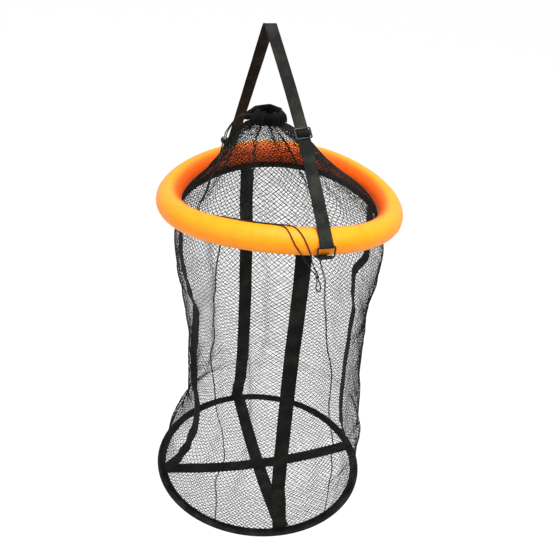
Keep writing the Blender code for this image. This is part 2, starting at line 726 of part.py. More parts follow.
def turned(name, profile, frame, facets, surface):
    """A solid of revolution about the frame's Z from (radius, height) pairs, poles at the ends."""
    mesh_data = bmesh.new()
    turns = [FULL_TURN * k / facets for k in range(facets)]
    rings = []
    for radius, height in profile:
        if radius:
            spots = [frame @ Vector((radius * cos(a), radius * sin(a), height)) for a in turns]
            rings.append([mesh_data.verts.new(spot) for spot in spots])
        else:
            rings.append([mesh_data.verts.new(frame @ Vector((0, 0, height)))])
    return add_revolved(name, mesh_data, rings, facets, surface)


def add_revolved(name, mesh_data, rings, facets, surface):
    """Faces between rings of vertices, where a ring of one vertex is a pole."""
    for near, far in zip(rings, rings[1:]):
        for i in range(facets):
            j = (i + 1) % facets
            corners = [near[i % len(near)], near[j % len(near)], far[j % len(far)], far[i % len(far)]]
            unique = [c for n, c in enumerate(corners) if c not in corners[:n]]
            mesh_data.faces.new(unique)
    return add_object(name, mesh_data, surface)


def cord_lock():
    """The ball lock: body with its well and cord bore, spring and cross-bored button."""
    frame = lock_frame()
    bands = 8
    ball = [(LOCK_RADIUS * sin(pi * k / bands), -LOCK_RADIUS * cos(pi * k / bands)) for k in range(1, bands)]
    body = turned("cord_lock_body", [(0, -LOCK_RADIUS), *ball, (0, LOCK_RADIUS)], frame, 16, "plastic_black")
    between_facets = frame @ Matrix.Rotation(pi / 16, 4, "Z")
    well = turned("cord_lock_well_cutter", [(0, LOCK_WELL_FLOOR), (LOCK_WELL_RADIUS, LOCK_WELL_FLOOR),
                  (LOCK_WELL_RADIUS, 2 * LOCK_RADIUS), (0, 2 * LOCK_RADIUS)], between_facets, 16, "plastic_black")
    cut(body, well)
    low = (-2 * LOCK_RADIUS, -LOCK_BORE_HALF_WIDTH, -LOCK_BORE_HALF_HEIGHT)
    high = (2 * LOCK_RADIUS, LOCK_BORE_HALF_WIDTH, LOCK_BORE_HALF_HEIGHT)
    cut(body, box("cord_lock_bore_cutter", frame, low, high))
    dome_start = BUTTON_TOP - BUTTON_DOME
    button = turned("cord_lock_button", [(0, BUTTON_FOOT), (BUTTON_RADIUS, BUTTON_FOOT),
                    (BUTTON_RADIUS, dome_start), (BUTTON_RADIUS - BUTTON_DOME, BUTTON_TOP),
                    (0, BUTTON_TOP)], frame, 16, "plastic_black")
    raised = (high[0], high[1], high[2] + LOCK_TRAVEL)
    cut(button, box("cord_lock_button_cutter", frame, low, raised))
    seat = LOCK_WELL_FLOOR + CLEARANCE + SPRING_WIRE_RADIUS
    top = BUTTON_FOOT - CLEARANCE - SPRING_WIRE_RADIUS
    count = SPRING_TURNS * SPRING_POINTS_PER_TURN
    coil = []
    for k in range(count + 1):
        turn = FULL_TURN * k / SPRING_POINTS_PER_TURN
        height = seat + (top - seat) * k / count
        coil.append(frame @ Vector((SPRING_RADIUS * cos(turn), SPRING_RADIUS * sin(turn), height)))
    loft("cord_lock_spring", tube_stations(coil, SPRING_WIRE_RADIUS, WIRE_FACETS), "steel")


def drawcord_knot():
    """The overhand knot that joins the strands, as one lobed ball."""
    frame = knot_frame()
    facets, bands = 18, 8
    mesh_data = bmesh.new()
    rings = []
    for k in range(bands + 1):
        polar = pi * k / bands
        ring = []
        for i in range(facets if 0 < k < bands else 1):
            a = FULL_TURN * i / facets
            lobe = KNOT_LOBE_SHARE * cos(KNOT_LOBES * a + 2 * polar) * sin(polar)
            reach = KNOT_RADIUS * (1 + lobe)
            spot = Vector((cos(polar), sin(polar) * cos(a), sin(polar) * sin(a)))
            ring.append(mesh_data.verts.new(frame @ (spot * reach)))
        rings.append(ring)
    return add_revolved("drawcord_knot", mesh_data, rings, facets, "cord_black")


class LoopSeat:
    """One rectangular loop on the ring: its radial plane, bars and the legs' tangents."""

    def __init__(self, azimuth):
        self.azimuth = azimuth
        self.tube = Vector((RING_RADIUS, ring_height(azimuth)))
        bar_r = RING_RADIUS + TUBE_RADIUS + LOOP_STAND_OFF
        middle = self.tube.y + LOOP_LIFT
        reach = LOOP_HEIGHT / 2 - LOOP_BAR_RADIUS
        self.upper_bar = Vector((bar_r, middle + reach))
        self.lower_bar = Vector((bar_r, middle - reach))
        self.turn_radius = LOOP_BAR_RADIUS + CLEARANCE + WEB_THICKNESS / 2
        centre = -Vector((RING_SHIFT_X, RING_SHIFT_Y, 0))
        self.fold_radius = centre.dot(outward(azimuth))
        self.fold_side = centre.dot(sideways(azimuth))
        self.fold = Vector((self.fold_radius, -STRAP_FOLD_RADIUS))

    def place(self, spot, side=0):
        """World point for a spot in the radial plane, moved along the ring by side."""
        return at_ring(self.azimuth, spot.x, spot.y) + sideways(self.azimuth) * side

    def leg(self):
        """Touch points of the outer ply on the fold and on the upper bar's turn."""
        fold_reach = STRAP_FOLD_RADIUS + WEB_THICKNESS / 2
        return tangent(self.fold, fold_reach, self.upper_bar, self.turn_radius, 1)

    def run(self):
        """Unit vector down the leg, and one square to it away from the ring's axis."""
        fold_touch, bar_touch = self.leg()
        down = (bar_touch - fold_touch).normalized()
        return down, Vector((-down.y, down.x))

    def inner_line(self):
        """Where the ply behind the leg leaves it, beside the tube, and where it meets the bar's turn."""
        _, bar_touch = self.leg()
        down, off = self.run()
        behind = bar_touch - off * (WEB_THICKNESS + CLEARANCE)
        tube_side = behind + down * (self.tube - behind).dot(down)
        return tube_side, tangent(tube_side, 0, self.upper_bar, self.turn_radius, -1)[1]

    def turn(self):
        """The strap's turn under the upper bar, from behind the leg to its outer ply."""
        start = angle_about(self.upper_bar, self.inner_line()[1])
        end = angle_about(self.upper_bar, self.leg()[1])
        return arc(self.upper_bar, self.turn_radius, start, end, BAR_TURN_STEPS)


def rectangular_loop(name, seat):
    """A moulded rectangular loop with round bars."""
    half_w = LOOP_WIDTH / 2 - LOOP_BAR_RADIUS
    half_h = LOOP_HEIGHT / 2 - LOOP_BAR_RADIUS
    middle = (seat.upper_bar + seat.lower_bar) / 2
    centre = seat.place(middle)
    across = sideways(seat.azimuth)
    normal = outward(seat.azimuth)
    up = Vector((0, 0, 1))
    stations = []
    inset = LOOP_CORNER_RADIUS
    corners = ((1, 1, 0), (-1, 1, 1), (-1, -1, 2), (1, -1, 3))
    for sign_x, sign_y, quarter in corners:
        hub_x = sign_x * (half_w - inset)
        hub_y = sign_y * (half_h - inset)
        for a in spread(quarter * pi / 2, (quarter + 1) * pi / 2, LOOP_CORNER_STEPS):
            way = across * cos(a) + up * sin(a)
            spot = centre + across * hub_x + up * hub_y + way * inset
            turns = [FULL_TURN * (k + 1 / 2) / LOOP_FACETS for k in range(LOOP_FACETS)]
            stations.append([spot + (way * cos(b) + normal * sin(b)) * LOOP_BAR_RADIUS for b in turns])
    return loft(name, stations, "plastic_black", closed=True)


def fold_points(front, back):
    """The strap's top fold, from the front leg's touch point to the back leg's."""
    front_touch = front.leg()[0]
    back_touch = back.leg()[0]
    front_angle = angle_about(front.fold, front_touch)
    back_angle = pi - angle_about(back.fold, back_touch)
    heading = (front.place(front.upper_bar) - back.place(back.upper_bar))
    heading.z = 0
    heading.normalize()
    reach = STRAP_FOLD_RADIUS + WEB_THICKNESS / 2
    hub = Vector((0, 0, -STRAP_FOLD_RADIUS))
    points = []
    for a in spread(front_angle, back_angle, FOLD_STEPS):
        points.append(hub + heading * cos(a) * reach + Vector((0, 0, sin(a) * reach)))
    across = Vector((-heading.y, heading.x, 0))
    return points, across


def weave_line():
    """The running ply through the tri-glide as (along, off) points, top to bottom."""
    hub = Vector((0, TRIGLIDE_OFFSET))
    bar_corner = hypot(TRIGLIDE_BAR, TRIGLIDE_THICKNESS) / 2
    eye = bar_corner + CLEARANCE + WEB_THICKNESS / 2
    over = eye + WEB_THICKNESS + CLEARANCE
    knee = TRIGLIDE_HEIGHT / 2 - TRIGLIDE_BAR - TRIGLIDE_KNEE_INSET
    upper = Vector((-knee, 0))
    lower = Vector((knee, 0))
    up_touch = tangent(upper, 0, hub, over, 1)[1]
    down_touch = tangent(hub, over, lower, 0, 1)[0]
    arc_run = arc(hub, over, angle_about(hub, up_touch), angle_about(hub, down_touch), TURN_STEPS)
    approach = TRIGLIDE_HEIGHT / 2 + WEAVE_APPROACH
    return [Vector((-approach, 0)), upper, *arc_run, lower, Vector((approach, 0))], eye, hub


def web_spot(seat, distance, lift, bow):
    """A point on a leg by distance down from the fold and lift off its outer ply."""
    fold_touch, bar_touch = seat.leg()
    down, off = seat.run()
    share = distance / (bar_touch - fold_touch).length
    side = seat.fold_side * (1 - share) + bow * sin(pi * min(1, max(0, share)))
    return seat.place(fold_touch + down * distance + off * lift, side)


def leg_across(seat, distance, fold_across, foot_across):
    """The webbing's width direction at a distance down the leg."""
    fold_touch, bar_touch = seat.leg()
    return fold_across.lerp(foot_across, distance / (bar_touch - fold_touch).length)


def leg_length(seat):
    """The outer ply's length from the fold's touch point to the bar's."""
    fold_touch, bar_touch = seat.leg()
    return (bar_touch - fold_touch).length


def carry_strap(front, back):
    """The long webbing: front turn, front leg through the tri-glide, fold, back leg and tail."""
    fold_line, fold_across = fold_points(front, back)
    front_across = sideways(front.azimuth)
    back_across = -sideways(back.azimuth)
    turn = front.turn()
    tube_side, touch = front.inner_line()
    up_the_line = (tube_side - touch).normalized()
    points = [front.place(touch + up_the_line * TURN_END_LENGTH)]
    points += [front.place(spot) for spot in turn]
    across = [front_across] * len(points)
    length = leg_length(front)
    middle = TRIGLIDE_SHARE * length
    frame = triglide_frame_matrix(front, back)
    weave = weave_line()[0]
    below = spread(length, middle + weave[-1].x, LEG_STEPS)[1:-1]
    above = spread(middle + weave[0].x, 0, LEG_STEPS)[1:-1]
    points += [web_spot(front, distance, 0, LEG_BOW) for distance in below]
    across += [leg_across(front, distance, fold_across, front_across) for distance in below]
    points += [frame @ triglide_spot(spot) for spot in reversed(weave)]
    across += [frame.col[0].xyz] * len(weave)
    points += [web_spot(front, distance, 0, LEG_BOW) for distance in above]
    across += [leg_across(front, distance, fold_across, front_across) for distance in above]
    points += fold_line
    across += [fold_across] * len(fold_line)
    length = leg_length(back)
    for distance in spread(0, length, LEG_STEPS)[1:-1]:
        points.append(web_spot(back, distance, 0, 0))
        across.append(leg_across(back, distance, fold_across, back_across))
    tail_start = back.inner_line()[0]
    tail_end = (tail_start - back.leg()[0]).dot(back.run()[0]) - TAIL_LENGTH
    points += [back.place(spot) for spot in [*reversed(back.turn()), tail_start]]
    across += [back_across] * (BAR_TURN_STEPS + 2)
    points.append(web_spot(back, tail_end, -(WEB_THICKNESS + CLEARANCE), 0))
    across.append(leg_across(back, tail_end, fold_across, back_across))
    return ribbon("carry_strap", points, across, CARRY_WIDTH)


def strap_return_ply(front, back):
    """The ply from the front loop up behind the leg to an eye on the tri-glide's middle bar."""
    length = leg_length(front)
    middle = TRIGLIDE_SHARE * length
    running_line, eye, hub = weave_line()
    knee = Vector((running_line[-2].x, -(WEB_THICKNESS + CLEARANCE)))
    eye_touch = tangent(knee, 0, hub, eye, 1)[1]
    tail = hub + Vector(RETURN_TAIL)
    tail_touch = tangent(hub, eye, tail, 0, 1)[0]
    start = angle_about(hub, tail_touch)
    end = angle_about(hub, eye_touch) + FULL_TURN
    eye_line = [tail, *arc(hub, eye, start, end, BAR_TURN_STEPS), knee]
    tube_side, touch = front.inner_line()
    tube_distance = (tube_side - front.leg()[0]).dot(front.run()[0])
    stops = spread(middle + knee.x, tube_distance, LEG_STEPS)[1:-1]
    fold_across = fold_points(front, back)[1]
    front_across = sideways(front.azimuth)
    frame = triglide_frame_matrix(front, back)
    points = [frame @ triglide_spot(spot) for spot in eye_line]
    across = [frame.col[0].xyz] * len(eye_line)
    points += [web_spot(front, distance, knee.y, LEG_BOW) for distance in stops]
    across += [leg_across(front, distance, fold_across, front_across) for distance in stops]
    up_the_line = (tube_side - touch).normalized()
    foot = touch + up_the_line * (TURN_END_LENGTH + CLEARANCE)
    points += [front.place(tube_side), front.place(foot)]
    across += [front_across] * 2
    return ribbon("strap_return_ply", points, across, CARRY_WIDTH)


def triglide_frame_matrix(front, back):
    """The tri-glide's frame: X across the webbing, Y up the leg and Z off its outer face."""
    fold_across = fold_points(front, back)[1]
    length = leg_length(front)
    middle = TRIGLIDE_SHARE * length
    centre = web_spot(front, middle, 0, LEG_BOW)
    down = (web_spot(front, middle + WEAVE_APPROACH, 0, LEG_BOW) - centre).normalized()
    across = leg_across(front, middle, fold_across, sideways(front.azimuth))
    across = (across - down * across.dot(down)).normalized()
    normal = across.cross(-down)
    return axes_frame(centre + normal * TRIGLIDE_OFFSET, across, normal)


def triglide_spot(spot):
    """A spot of the weave in the tri-glide's frame."""
    return Vector((0, -spot.x, spot.y - TRIGLIDE_OFFSET))


def triglide(front, back):
    """The strap adjuster: a rounded plate with two slots about its middle bar."""
    frame = triglide_frame_matrix(front, back)
    half_w = TRIGLIDE_WIDTH / 2
    half_h = TRIGLIDE_HEIGHT / 2
    outline = []
    for sign_x, sign_y, quarter in ((1, 1, 0), (-1, 1, 1), (-1, -1, 2), (1, -1, 3)):
        hub = Vector((sign_x * (half_w - TRIGLIDE_CORNER), sign_y * (half_h - TRIGLIDE_CORNER)))
        outline += arc(hub, TRIGLIDE_CORNER, quarter * pi / 2, (quarter + 1) * pi / 2, LOOP_CORNER_STEPS)
    half_t = TRIGLIDE_THICKNESS / 2
    faces = [[frame @ Vector((*spot, z)) for spot in outline] for z in (-half_t, half_t)]
    body = loft("triglide", faces, "plastic_black")
    for name, sign in (("triglide_upper_slot_cutter", 1), ("triglide_lower_slot_cutter", -1)):
        near = sign * TRIGLIDE_BAR / 2
        far = sign * (half_h - TRIGLIDE_BAR)
        low = (-TRIGLIDE_SLOT_WIDTH / 2, min(near, far), -TRIGLIDE_THICKNESS)
        high = (TRIGLIDE_SLOT_WIDTH / 2, max(near, far), TRIGLIDE_THICKNESS)
        cut(body, box(name, frame, low, high))


def anchor_tab(name, seat):
    """The short webbing that holds a loop: two plies under the tube and an eye on the lower bar."""
    inner_reach = TUBE_RADIUS + TAB_HUG_GAP + WEB_THICKNESS / 2
    outer_reach = inner_reach + WEB_THICKNESS + CLEARANCE
    eye = seat.turn_radius
    tube_inner, eye_inner = tangent(seat.tube, inner_reach, seat.lower_bar, -eye, -1)
    tube_outer, eye_outer = tangent(seat.tube, outer_reach, seat.lower_bar, eye, -1)
    inner_run = arc(seat.tube, inner_reach, TAB_START_ANGLE, angle_about(seat.tube, tube_inner), TAB_STEPS)
    outer_run = arc(seat.tube, outer_reach, angle_about(seat.tube, tube_outer), TAB_START_ANGLE, TAB_STEPS)
    start = angle_about(seat.lower_bar, eye_inner)
    end = angle_about(seat.lower_bar, eye_outer)
    if start < end:
        start += FULL_TURN
    over_bar = arc(seat.lower_bar, eye, start, end, TURN_STEPS)
    points = [seat.place(spot) for spot in inner_run + over_bar + outer_run]
    along_tube = [tube_run(seat.azimuth)] * len(inner_run)
    across = along_tube + [sideways(seat.azimuth)] * len(over_bar) + along_tube
    return ribbon(name, points, across, CARRY_WIDTH)


def hoop_level():
    """Height of the hoop's middle plane."""
    return -RING_DROP - NET_DROP


def tape_top():
    """Height of the hoop tape's upper face above the hoop's middle plane."""
    return TAPE_GAP + TAPE_THICKNESS


def net_lean(share):
    """How far the net's tube stands off the ring's axis at a share of its drop."""
    return Vector((NET_LEAN_X, NET_LEAN_Y, 0)) * along(NET_LEAN_SHARES, share)


def side_net_point(azimuth, share, inset):
    """A point on the side net, moved inward by inset from its middle surface."""
    top = seam_point(azimuth, SEAM_BOTTOM + CLEARANCE, SEAM_SIDE_SHIFT - inset)
    if not share:
        return top
    bottom = hoop_level() + tape_top() + CLEARANCE
    fold = NET_FOLD_DEPTH * sin(pi * share) * cos(NET_FOLDS * azimuth)
    radius = RING_RADIUS * along(NET_RADIUS_SHARES, share) + fold - inset
    return at_ring(azimuth, radius, top.z + (bottom - top.z) * share) + net_lean(share)


def side_net():
    """The net tube between the ring's binding and the hoop, drawn in at its waist."""
    stations = []
    half = NET_THICKNESS / 2
    for a in azimuths():
        shares = spread(0, 1, NET_ROWS)
        outer = [side_net_point(a, share, -half) for share in shares]
        inner = [side_net_point(a, share, half) for share in reversed(shares)]
        stations.append(outer + inner)
    return loft("side_net", stations, "net_black", closed=True)


def body_strap(side):
    """One of the four webbings that hang inside the net from the binding to the hoop."""
    reach = BODY_WEB_WIDTH / 2 / (RING_RADIUS * STRAP_RADIUS_SHARES[side][0][1])
    columns = [STRAP_AZIMUTHS[side] + turn for turn in spread(-reach, reach, STRAP_COLUMNS)]
    bottom = hoop_level() + tape_top() + CLEARANCE
    half = WEB_THICKNESS / 2
    stations = []
    for share in spread(0, 1, STRAP_STEPS):
        station = []
        for inset, turns in ((-half, columns), (half, reversed(columns))):
            for a in turns:
                spot = seam_point(a, SEAM_BOTTOM + CLEARANCE, -SEAM_SIDE_SHIFT - inset)
                if share:
                    radius = RING_RADIUS * along(STRAP_RADIUS_SHARES[side], share) - inset
                    spot = at_ring(a, radius, spot.z + (bottom - spot.z) * share)
                station.append(spot)
        stations.append(station)
    return loft(f"body_strap_{side}", stations, "webbing_black")


def hoop_point(azimuth, radius, level):
    """A point by azimuth and radius about the hoop's axis, and level above its middle plane."""
    return at_ring(azimuth, radius * facet_share(azimuth), hoop_level() + level)


def wire_point(azimuth, angle, reach):
    """A point about the hoop's wire."""
    return hoop_point(azimuth, WIRE_RING_RADIUS + reach * cos(angle), reach * sin(angle))


def hoop_wire():
    """The spring wire, bent round until its ends nearly meet."""
    turns = butted_turns(HOOP_JOINT_AZIMUTH, CLEARANCE / WIRE_RING_RADIUS / 2)
    angles = [FULL_TURN * k / WIRE_FACETS for k in range(WIRE_FACETS)]
    stations = [[wire_point(a, b, HOOP_WIRE_RADIUS) for b in angles] for a in turns]
    return loft("hoop_wire", stations, "steel")


def hoop_ferrule():
    """The crimped tube over the wire's butted ends."""
    half = FERRULE_LENGTH / WIRE_RING_RADIUS / 2
    turns = [HOOP_JOINT_AZIMUTH - half, HOOP_JOINT_AZIMUTH, HOOP_JOINT_AZIMUTH + half]
    bore = HOOP_WIRE_RADIUS + CLEARANCE / cos(pi / TUBE_FACETS)
    return loft_pipe("hoop_ferrule", turns, wire_point, (bore + FERRULE_WALL, bore), "steel")


def hoop_tape():
    """The tape folded round the wire, its two plies flat inward with the net's edge between."""
    ply = TAPE_GAP + TAPE_THICKNESS / 2
    hub = Vector((WIRE_RING_RADIUS, 0))
    turn = arc(hub, TAPE_TURN_REACH, TAPE_OPEN_ANGLE, -TAPE_OPEN_ANGLE, TAPE_TURN_STEPS)
    stitch = WIRE_RING_RADIUS - 2 * TAPE_TURN_REACH
    above = [Vector((TAPE_INNER_RADIUS, ply)), Vector((stitch, ply))]
    below = [Vector((stitch, -ply)), Vector((TAPE_INNER_RADIUS, -ply))]
    outline = skin([*above, *turn, *below], TAPE_THICKNESS)
    stations = [[hoop_point(a, radius, level) for radius, level in outline] for a in azimuths()]
    return loft("hoop_tape", stations, "webbing_black", closed=True)


def floor_sag(distance):
    """How far the floor hangs below the hoop's plane at a distance from its centre."""
    flat = TAPE_INNER_RADIUS - FLOOR_EDGE_TUCK
    return FLOOR_SAG * max(0, 1 - (distance / flat) ** 2)


def floor_net():
    """The floor: a disc parted along two slanting sets of lines, each cell opened."""
    edge = TAPE_INNER_RADIUS + FLOOR_EDGE_TUCK
    mesh_data = bmesh.new()
    for reach in (edge, edge - 2 * FLOOR_EDGE_TUCK / cos(RING_STEP / 2)):
        rim = [mesh_data.verts.new(outward(a) * reach) for a in azimuths()]
        for near, far in zip(rim, rim[1:] + rim[:1]):
            mesh_data.edges.new((near, far))
    bmesh.ops.bridge_loops(mesh_data, edges=mesh_data.edges[:])
    mesh_data.faces.new(rim)
    spacing = FLOOR_PITCH / sqrt(2)
    lines = int(edge / spacing)
    for slant in (pi / 4, -pi / 4):
        way = outward(slant)
        for k in range(-lines, lines + 1):
            whole = mesh_data.verts[:] + mesh_data.edges[:] + mesh_data.faces[:]
            bmesh.ops.bisect_plane(mesh_data, geom=whole, plane_co=way * spacing * (k + 1 / 2), plane_no=way)
    cell = spacing * spacing
    full = [face for face in mesh_data.faces if face.calc_area() > 3 / 4 * cell
            and face.calc_center_median().length < TAPE_INNER_RADIUS - spacing / 2]
    bmesh.ops.inset_individual(mesh_data, faces=full, thickness=FLOOR_STRAND / 2)
    bmesh.ops.delete(mesh_data, geom=full, context="FACES")
    for vertex in mesh_data.verts:
        vertex.co.z = -floor_sag(vertex.co.length)
    half = Vector((0, 0, NET_THICKNESS))
    lower = bmesh.ops.extrude_face_region(mesh_data, geom=mesh_data.faces[:])
    for item in lower["geom"]:
        if isinstance(item, bmesh.types.BMVert):
            item.co -= half
    shift = Vector((RING_SHIFT_X, RING_SHIFT_Y, hoop_level() + NET_THICKNESS / 2))
    bmesh.ops.translate(mesh_data, verts=mesh_data.verts[:], vec=shift)
    return add_object("floor_net", mesh_data, "net_black")


def floor_strap(name, azimuth, over):
    """A strap across the floor; the second one rides over the first at the middle."""
    reach = TAPE_INNER_RADIUS * cos(RING_STEP / 2) - 2 * CLEARANCE
    half = sqrt(reach**2 - (BODY_WEB_WIDTH / 2) ** 2)
    run = outward(azimuth)
    base = NET_THICKNESS / 2 + 2 * CLEARANCE + WEB_THICKNESS / 2
    points = []
    ramp = BODY_WEB_WIDTH / 2 + CROSSING_RAMP
    stops = spread(-half, half, FLOOR_STRAP_STEPS)
    stops = sorted({*stops, -ramp, -BODY_WEB_WIDTH / 2 - CLEARANCE, BODY_WEB_WIDTH / 2 + CLEARANCE, ramp})
    for distance in stops:
        lift = over * (WEB_THICKNESS + CLEARANCE) * (abs(distance) < ramp)
        level = base + lift - floor_sag(distance)
        points.append(HOOP_MIDDLE + run * distance + Vector((0, 0, level)))
    return ribbon(name, points, [sideways(azimuth)] * len(points), BODY_WEB_WIDTH)


def loop_frame(seat):
    """A loop's pivot in the eye of its tab: X along the lower bar."""
    return axes_frame(seat.place(seat.lower_bar), sideways(seat.azimuth), Vector((0, 0, 1)))


def swing_frame(front, back):
    """The line the ring tilts about: X through the upper bars of both loops."""
    first = front.place(front.upper_bar)
    second = back.place(back.upper_bar)
    return axes_frame((first + second) / 2, second - first, Vector((0, 0, 1)))


def button_frame():
    """The button's own frame: X along its travel into the lock."""
    lock = lock_frame()
    return axes_frame(lock.translation, -lock.col[2].xyz, lock.col[0].xyz)


def carry(name, frame, carrier, pieces):
    """An empty on a joint's axis that the pieces of one moving body follow."""
    pivot = bpy.data.objects.new(name, None)
    pivot.empty_display_size = TUBE_RADIUS
    bpy.context.scene.collection.objects.link(pivot)
    pivot.matrix_basis = frame
    if carrier:
        follow(pivot, *carrier)
    for piece in pieces:
        follow(bpy.data.objects[piece], pivot, frame)
    return pivot, frame


def follow(piece, pivot, frame):
    """Parent a piece to a pivot and leave it where it stands."""
    piece.parent = pivot
    piece.matrix_parent_inverse = frame.inverted()


def carry_all(front, back):
    """One empty for each moving body, nested as the bodies hang on each other."""
    body_straps = [f"body_strap_{side}" for side in STRAP_AZIMUTHS]
    cords = ["drawcord_in_hem", "drawcord_strand_a", "drawcord_strand_b", "drawcord_knot", "drawcord_end_loop"]
    ring_pieces = ["float_foam", "float_foam_plug", "float_sleeve", "ring_binding", "front_anchor_tab",
                   "back_anchor_tab", "collar_net", "collar_hem", "side_net", *body_straps, *cords]
    hoop_pieces = ["hoop_wire", "hoop_ferrule", "hoop_tape", "floor_net", "floor_strap_front_back",
                   "floor_strap_left_right"]
    strap = carry("strap_pivot", Matrix(), None, ["carry_strap", "strap_return_ply"])
    carry("triglide_pivot", triglide_frame_matrix(front, back), strap, ["triglide"])
    ring = carry("ring_pivot", swing_frame(front, back), strap, ring_pieces)
    carry("front_loop_pivot", loop_frame(front), ring, ["front_loop"])
    carry("back_loop_pivot", loop_frame(back), ring, ["back_loop"])
    carry("hoop_pivot", Matrix.Translation(HOOP_MIDDLE), ring, hoop_pieces)
    lock = carry("cord_lock_pivot", lock_frame(), ring, ["cord_lock_body", "cord_lock_spring"])
    carry("cord_lock_button_pivot", button_frame(), lock, ["cord_lock_button"])


def build():
    """Make every piece of the keep net."""
    for leftover in list(bpy.data.objects):
        bpy.data.objects.remove(leftover, do_unlink=True)
    front = LoopSeat(FRONT_LOOP_AZIMUTH)
    back = LoopSeat(BACK_LOOP_AZIMUTH)
    carry_strap(front, back)
    strap_return_ply(front, back)
    triglide(front, back)
    rectangular_loop("front_loop", front)
    rectangular_loop("back_loop", back)
    anchor_tab("front_anchor_tab", front)
    anchor_tab("back_anchor_tab", back)
    float_foam()
    float_foam_plug()
    float_sleeve()
    ring_binding()
    collar_net()
    collar_hem()
    drawcord_in_hem()
    strands()
    drawcord_knot()
    end_loop()
    cord_lock()
    side_net()
    for side in STRAP_AZIMUTHS:
        body_strap(side)
    hoop_wire()
    hoop_ferrule()
    hoop_tape()
    floor_net()
    floor_strap("floor_strap_front_back", radians(90), 0)
    floor_strap("floor_strap_left_right", 0, 1)
    carry_all(front, back)


build()
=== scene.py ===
# %% [markdown]
# # A hanging keep net, dressed for its picture
#
# A keep net holds live fish in the water. This one hangs from a webbing strap, floats on a
# foam ring under an orange cover, closes at the top with a drawcord and spreads its floor
# with a wire hoop. The solid model gives every place and size, so each cell below makes one
# piece of cloth, cord, net or plastic on the very spot that the solid holds. Noise makes the
# cloth uneven, and a fixed seed makes it the same unevenness in every run.
#
# Lengths are metres, +Z is up, -Y is the front, and the origin is the underside of the
# strap's top fold.

# %% Load the solid model
from math import asin, atan2, ceil, cos, hypot, pi, radians, sin, sqrt

import bmesh
import bpy
from mathutils import Matrix, Vector, noise


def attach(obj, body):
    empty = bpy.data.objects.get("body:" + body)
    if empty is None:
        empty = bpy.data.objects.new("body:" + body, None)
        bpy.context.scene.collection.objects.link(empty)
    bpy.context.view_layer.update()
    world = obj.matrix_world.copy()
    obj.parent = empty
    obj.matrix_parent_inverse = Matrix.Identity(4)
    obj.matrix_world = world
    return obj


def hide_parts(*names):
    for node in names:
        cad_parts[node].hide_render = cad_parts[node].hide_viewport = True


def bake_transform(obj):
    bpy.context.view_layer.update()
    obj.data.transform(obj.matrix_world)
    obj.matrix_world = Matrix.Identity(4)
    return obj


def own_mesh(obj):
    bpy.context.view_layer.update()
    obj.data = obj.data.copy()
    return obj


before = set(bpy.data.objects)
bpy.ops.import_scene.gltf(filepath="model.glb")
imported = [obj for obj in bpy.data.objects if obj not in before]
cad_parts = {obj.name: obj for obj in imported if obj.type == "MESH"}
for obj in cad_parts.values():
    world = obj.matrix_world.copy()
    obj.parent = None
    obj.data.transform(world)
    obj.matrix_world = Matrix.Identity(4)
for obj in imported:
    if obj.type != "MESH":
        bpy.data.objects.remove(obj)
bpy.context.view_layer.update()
NOISE_SEED = 7
noise.seed_set(NOISE_SEED)
FULL_TURN = 2 * pi


def add_object(name, data):
    """A new object in the scene's own collection."""
    made = bpy.data.objects.new(name, data)
    bpy.context.scene.collection.objects.link(made)
    return made


# %% [markdown]
# ## The camera
#
# The photograph looks down on the net from the front left. The ring and the hoop are both
# circles, so their two ellipses give the camera's tilt and distance, and the hanging straps
# give its roll. A camera could be aimed with a Track To constraint. Writing its three axes
# into a matrix keeps the small roll, so that is done here.

# %% Set the camera
CAMERA_PLACE = Vector((-0.3791, -1.4251, 0.2801))
CAMERA_AZIMUTH = radians(-17.3)
CAMERA_PITCH = radians(29.48)
CAMERA_ROLL = radians(5.12)
CAMERA_LENS = 48.226
SENSOR_WIDTH = 36


def add_camera():
    """The photograph's camera as three axes and a place."""
    heading = Vector((-sin(CAMERA_AZIMUTH), cos(CAMERA_AZIMUTH), 0))
    right = Vector((cos(CAMERA_AZIMUTH), sin(CAMERA_AZIMUTH), 0))
    forward = heading * cos(CAMERA_PITCH) - Vector((0, 0, sin(CAMERA_PITCH)))
    up = right.cross(forward)
    x_axis = right * cos(CAMERA_ROLL) + up * sin(CAMERA_ROLL)
    y_axis = up * cos(CAMERA_ROLL) - right * sin(CAMERA_ROLL)
    data = bpy.data.cameras.new("camera")
    data.sensor_width = SENSOR_WIDTH
    data.lens = CAMERA_LENS
    camera = add_object("camera", data)
    axes = Matrix((x_axis, y_axis, -forward)).transposed().to_4x4()
    axes.translation = CAMERA_PLACE
    camera.matrix_world = axes
    bpy.context.scene.camera = camera


add_camera()

# %% [markdown]
# ## Sizes that the pieces share
#
# These are the solid model's own sizes, written again because this script can't read its
# source. Everything below the strap is measured from the float ring's middle.

# %% Shared sizes
RING_MIDDLE = Vector((0.045, -0.014, -0.348))
RING_RADIUS = 0.235
TUBE_RADIUS = 0.0263
RING_WARP = 0.0129
RING_WARP_AZIMUTH = radians(-107)
SEAM_ANGLE = radians(-125)
SEAM_ALLOWANCE = 0.0105
CLEARANCE = 0.0003
NET_DROP = 0.739
HOOP_LEVEL = RING_MIDDLE.z - NET_DROP
SLEEVE_THICKNESS = 0.0008
BINDING_THICKNESS = 0.0008
SEAM_HALF_GAP = 0.0002
SEAM_BOTTOM = TUBE_RADIUS + SEAM_ALLOWANCE + 2 * CLEARANCE + BINDING_THICKNESS
WEB_THICKNESS = 0.0014
CORD_RADIUS = 0.0012
CORD_SPACING = 0.0034


def outward(azimuth):
    """Unit vector away from the ring's axis."""
    return Vector((cos(azimuth), sin(azimuth), 0))


def sideways(azimuth):
    """Unit vector along the ring, anticlockwise from above."""
    return Vector((-sin(azimuth), cos(azimuth), 0))


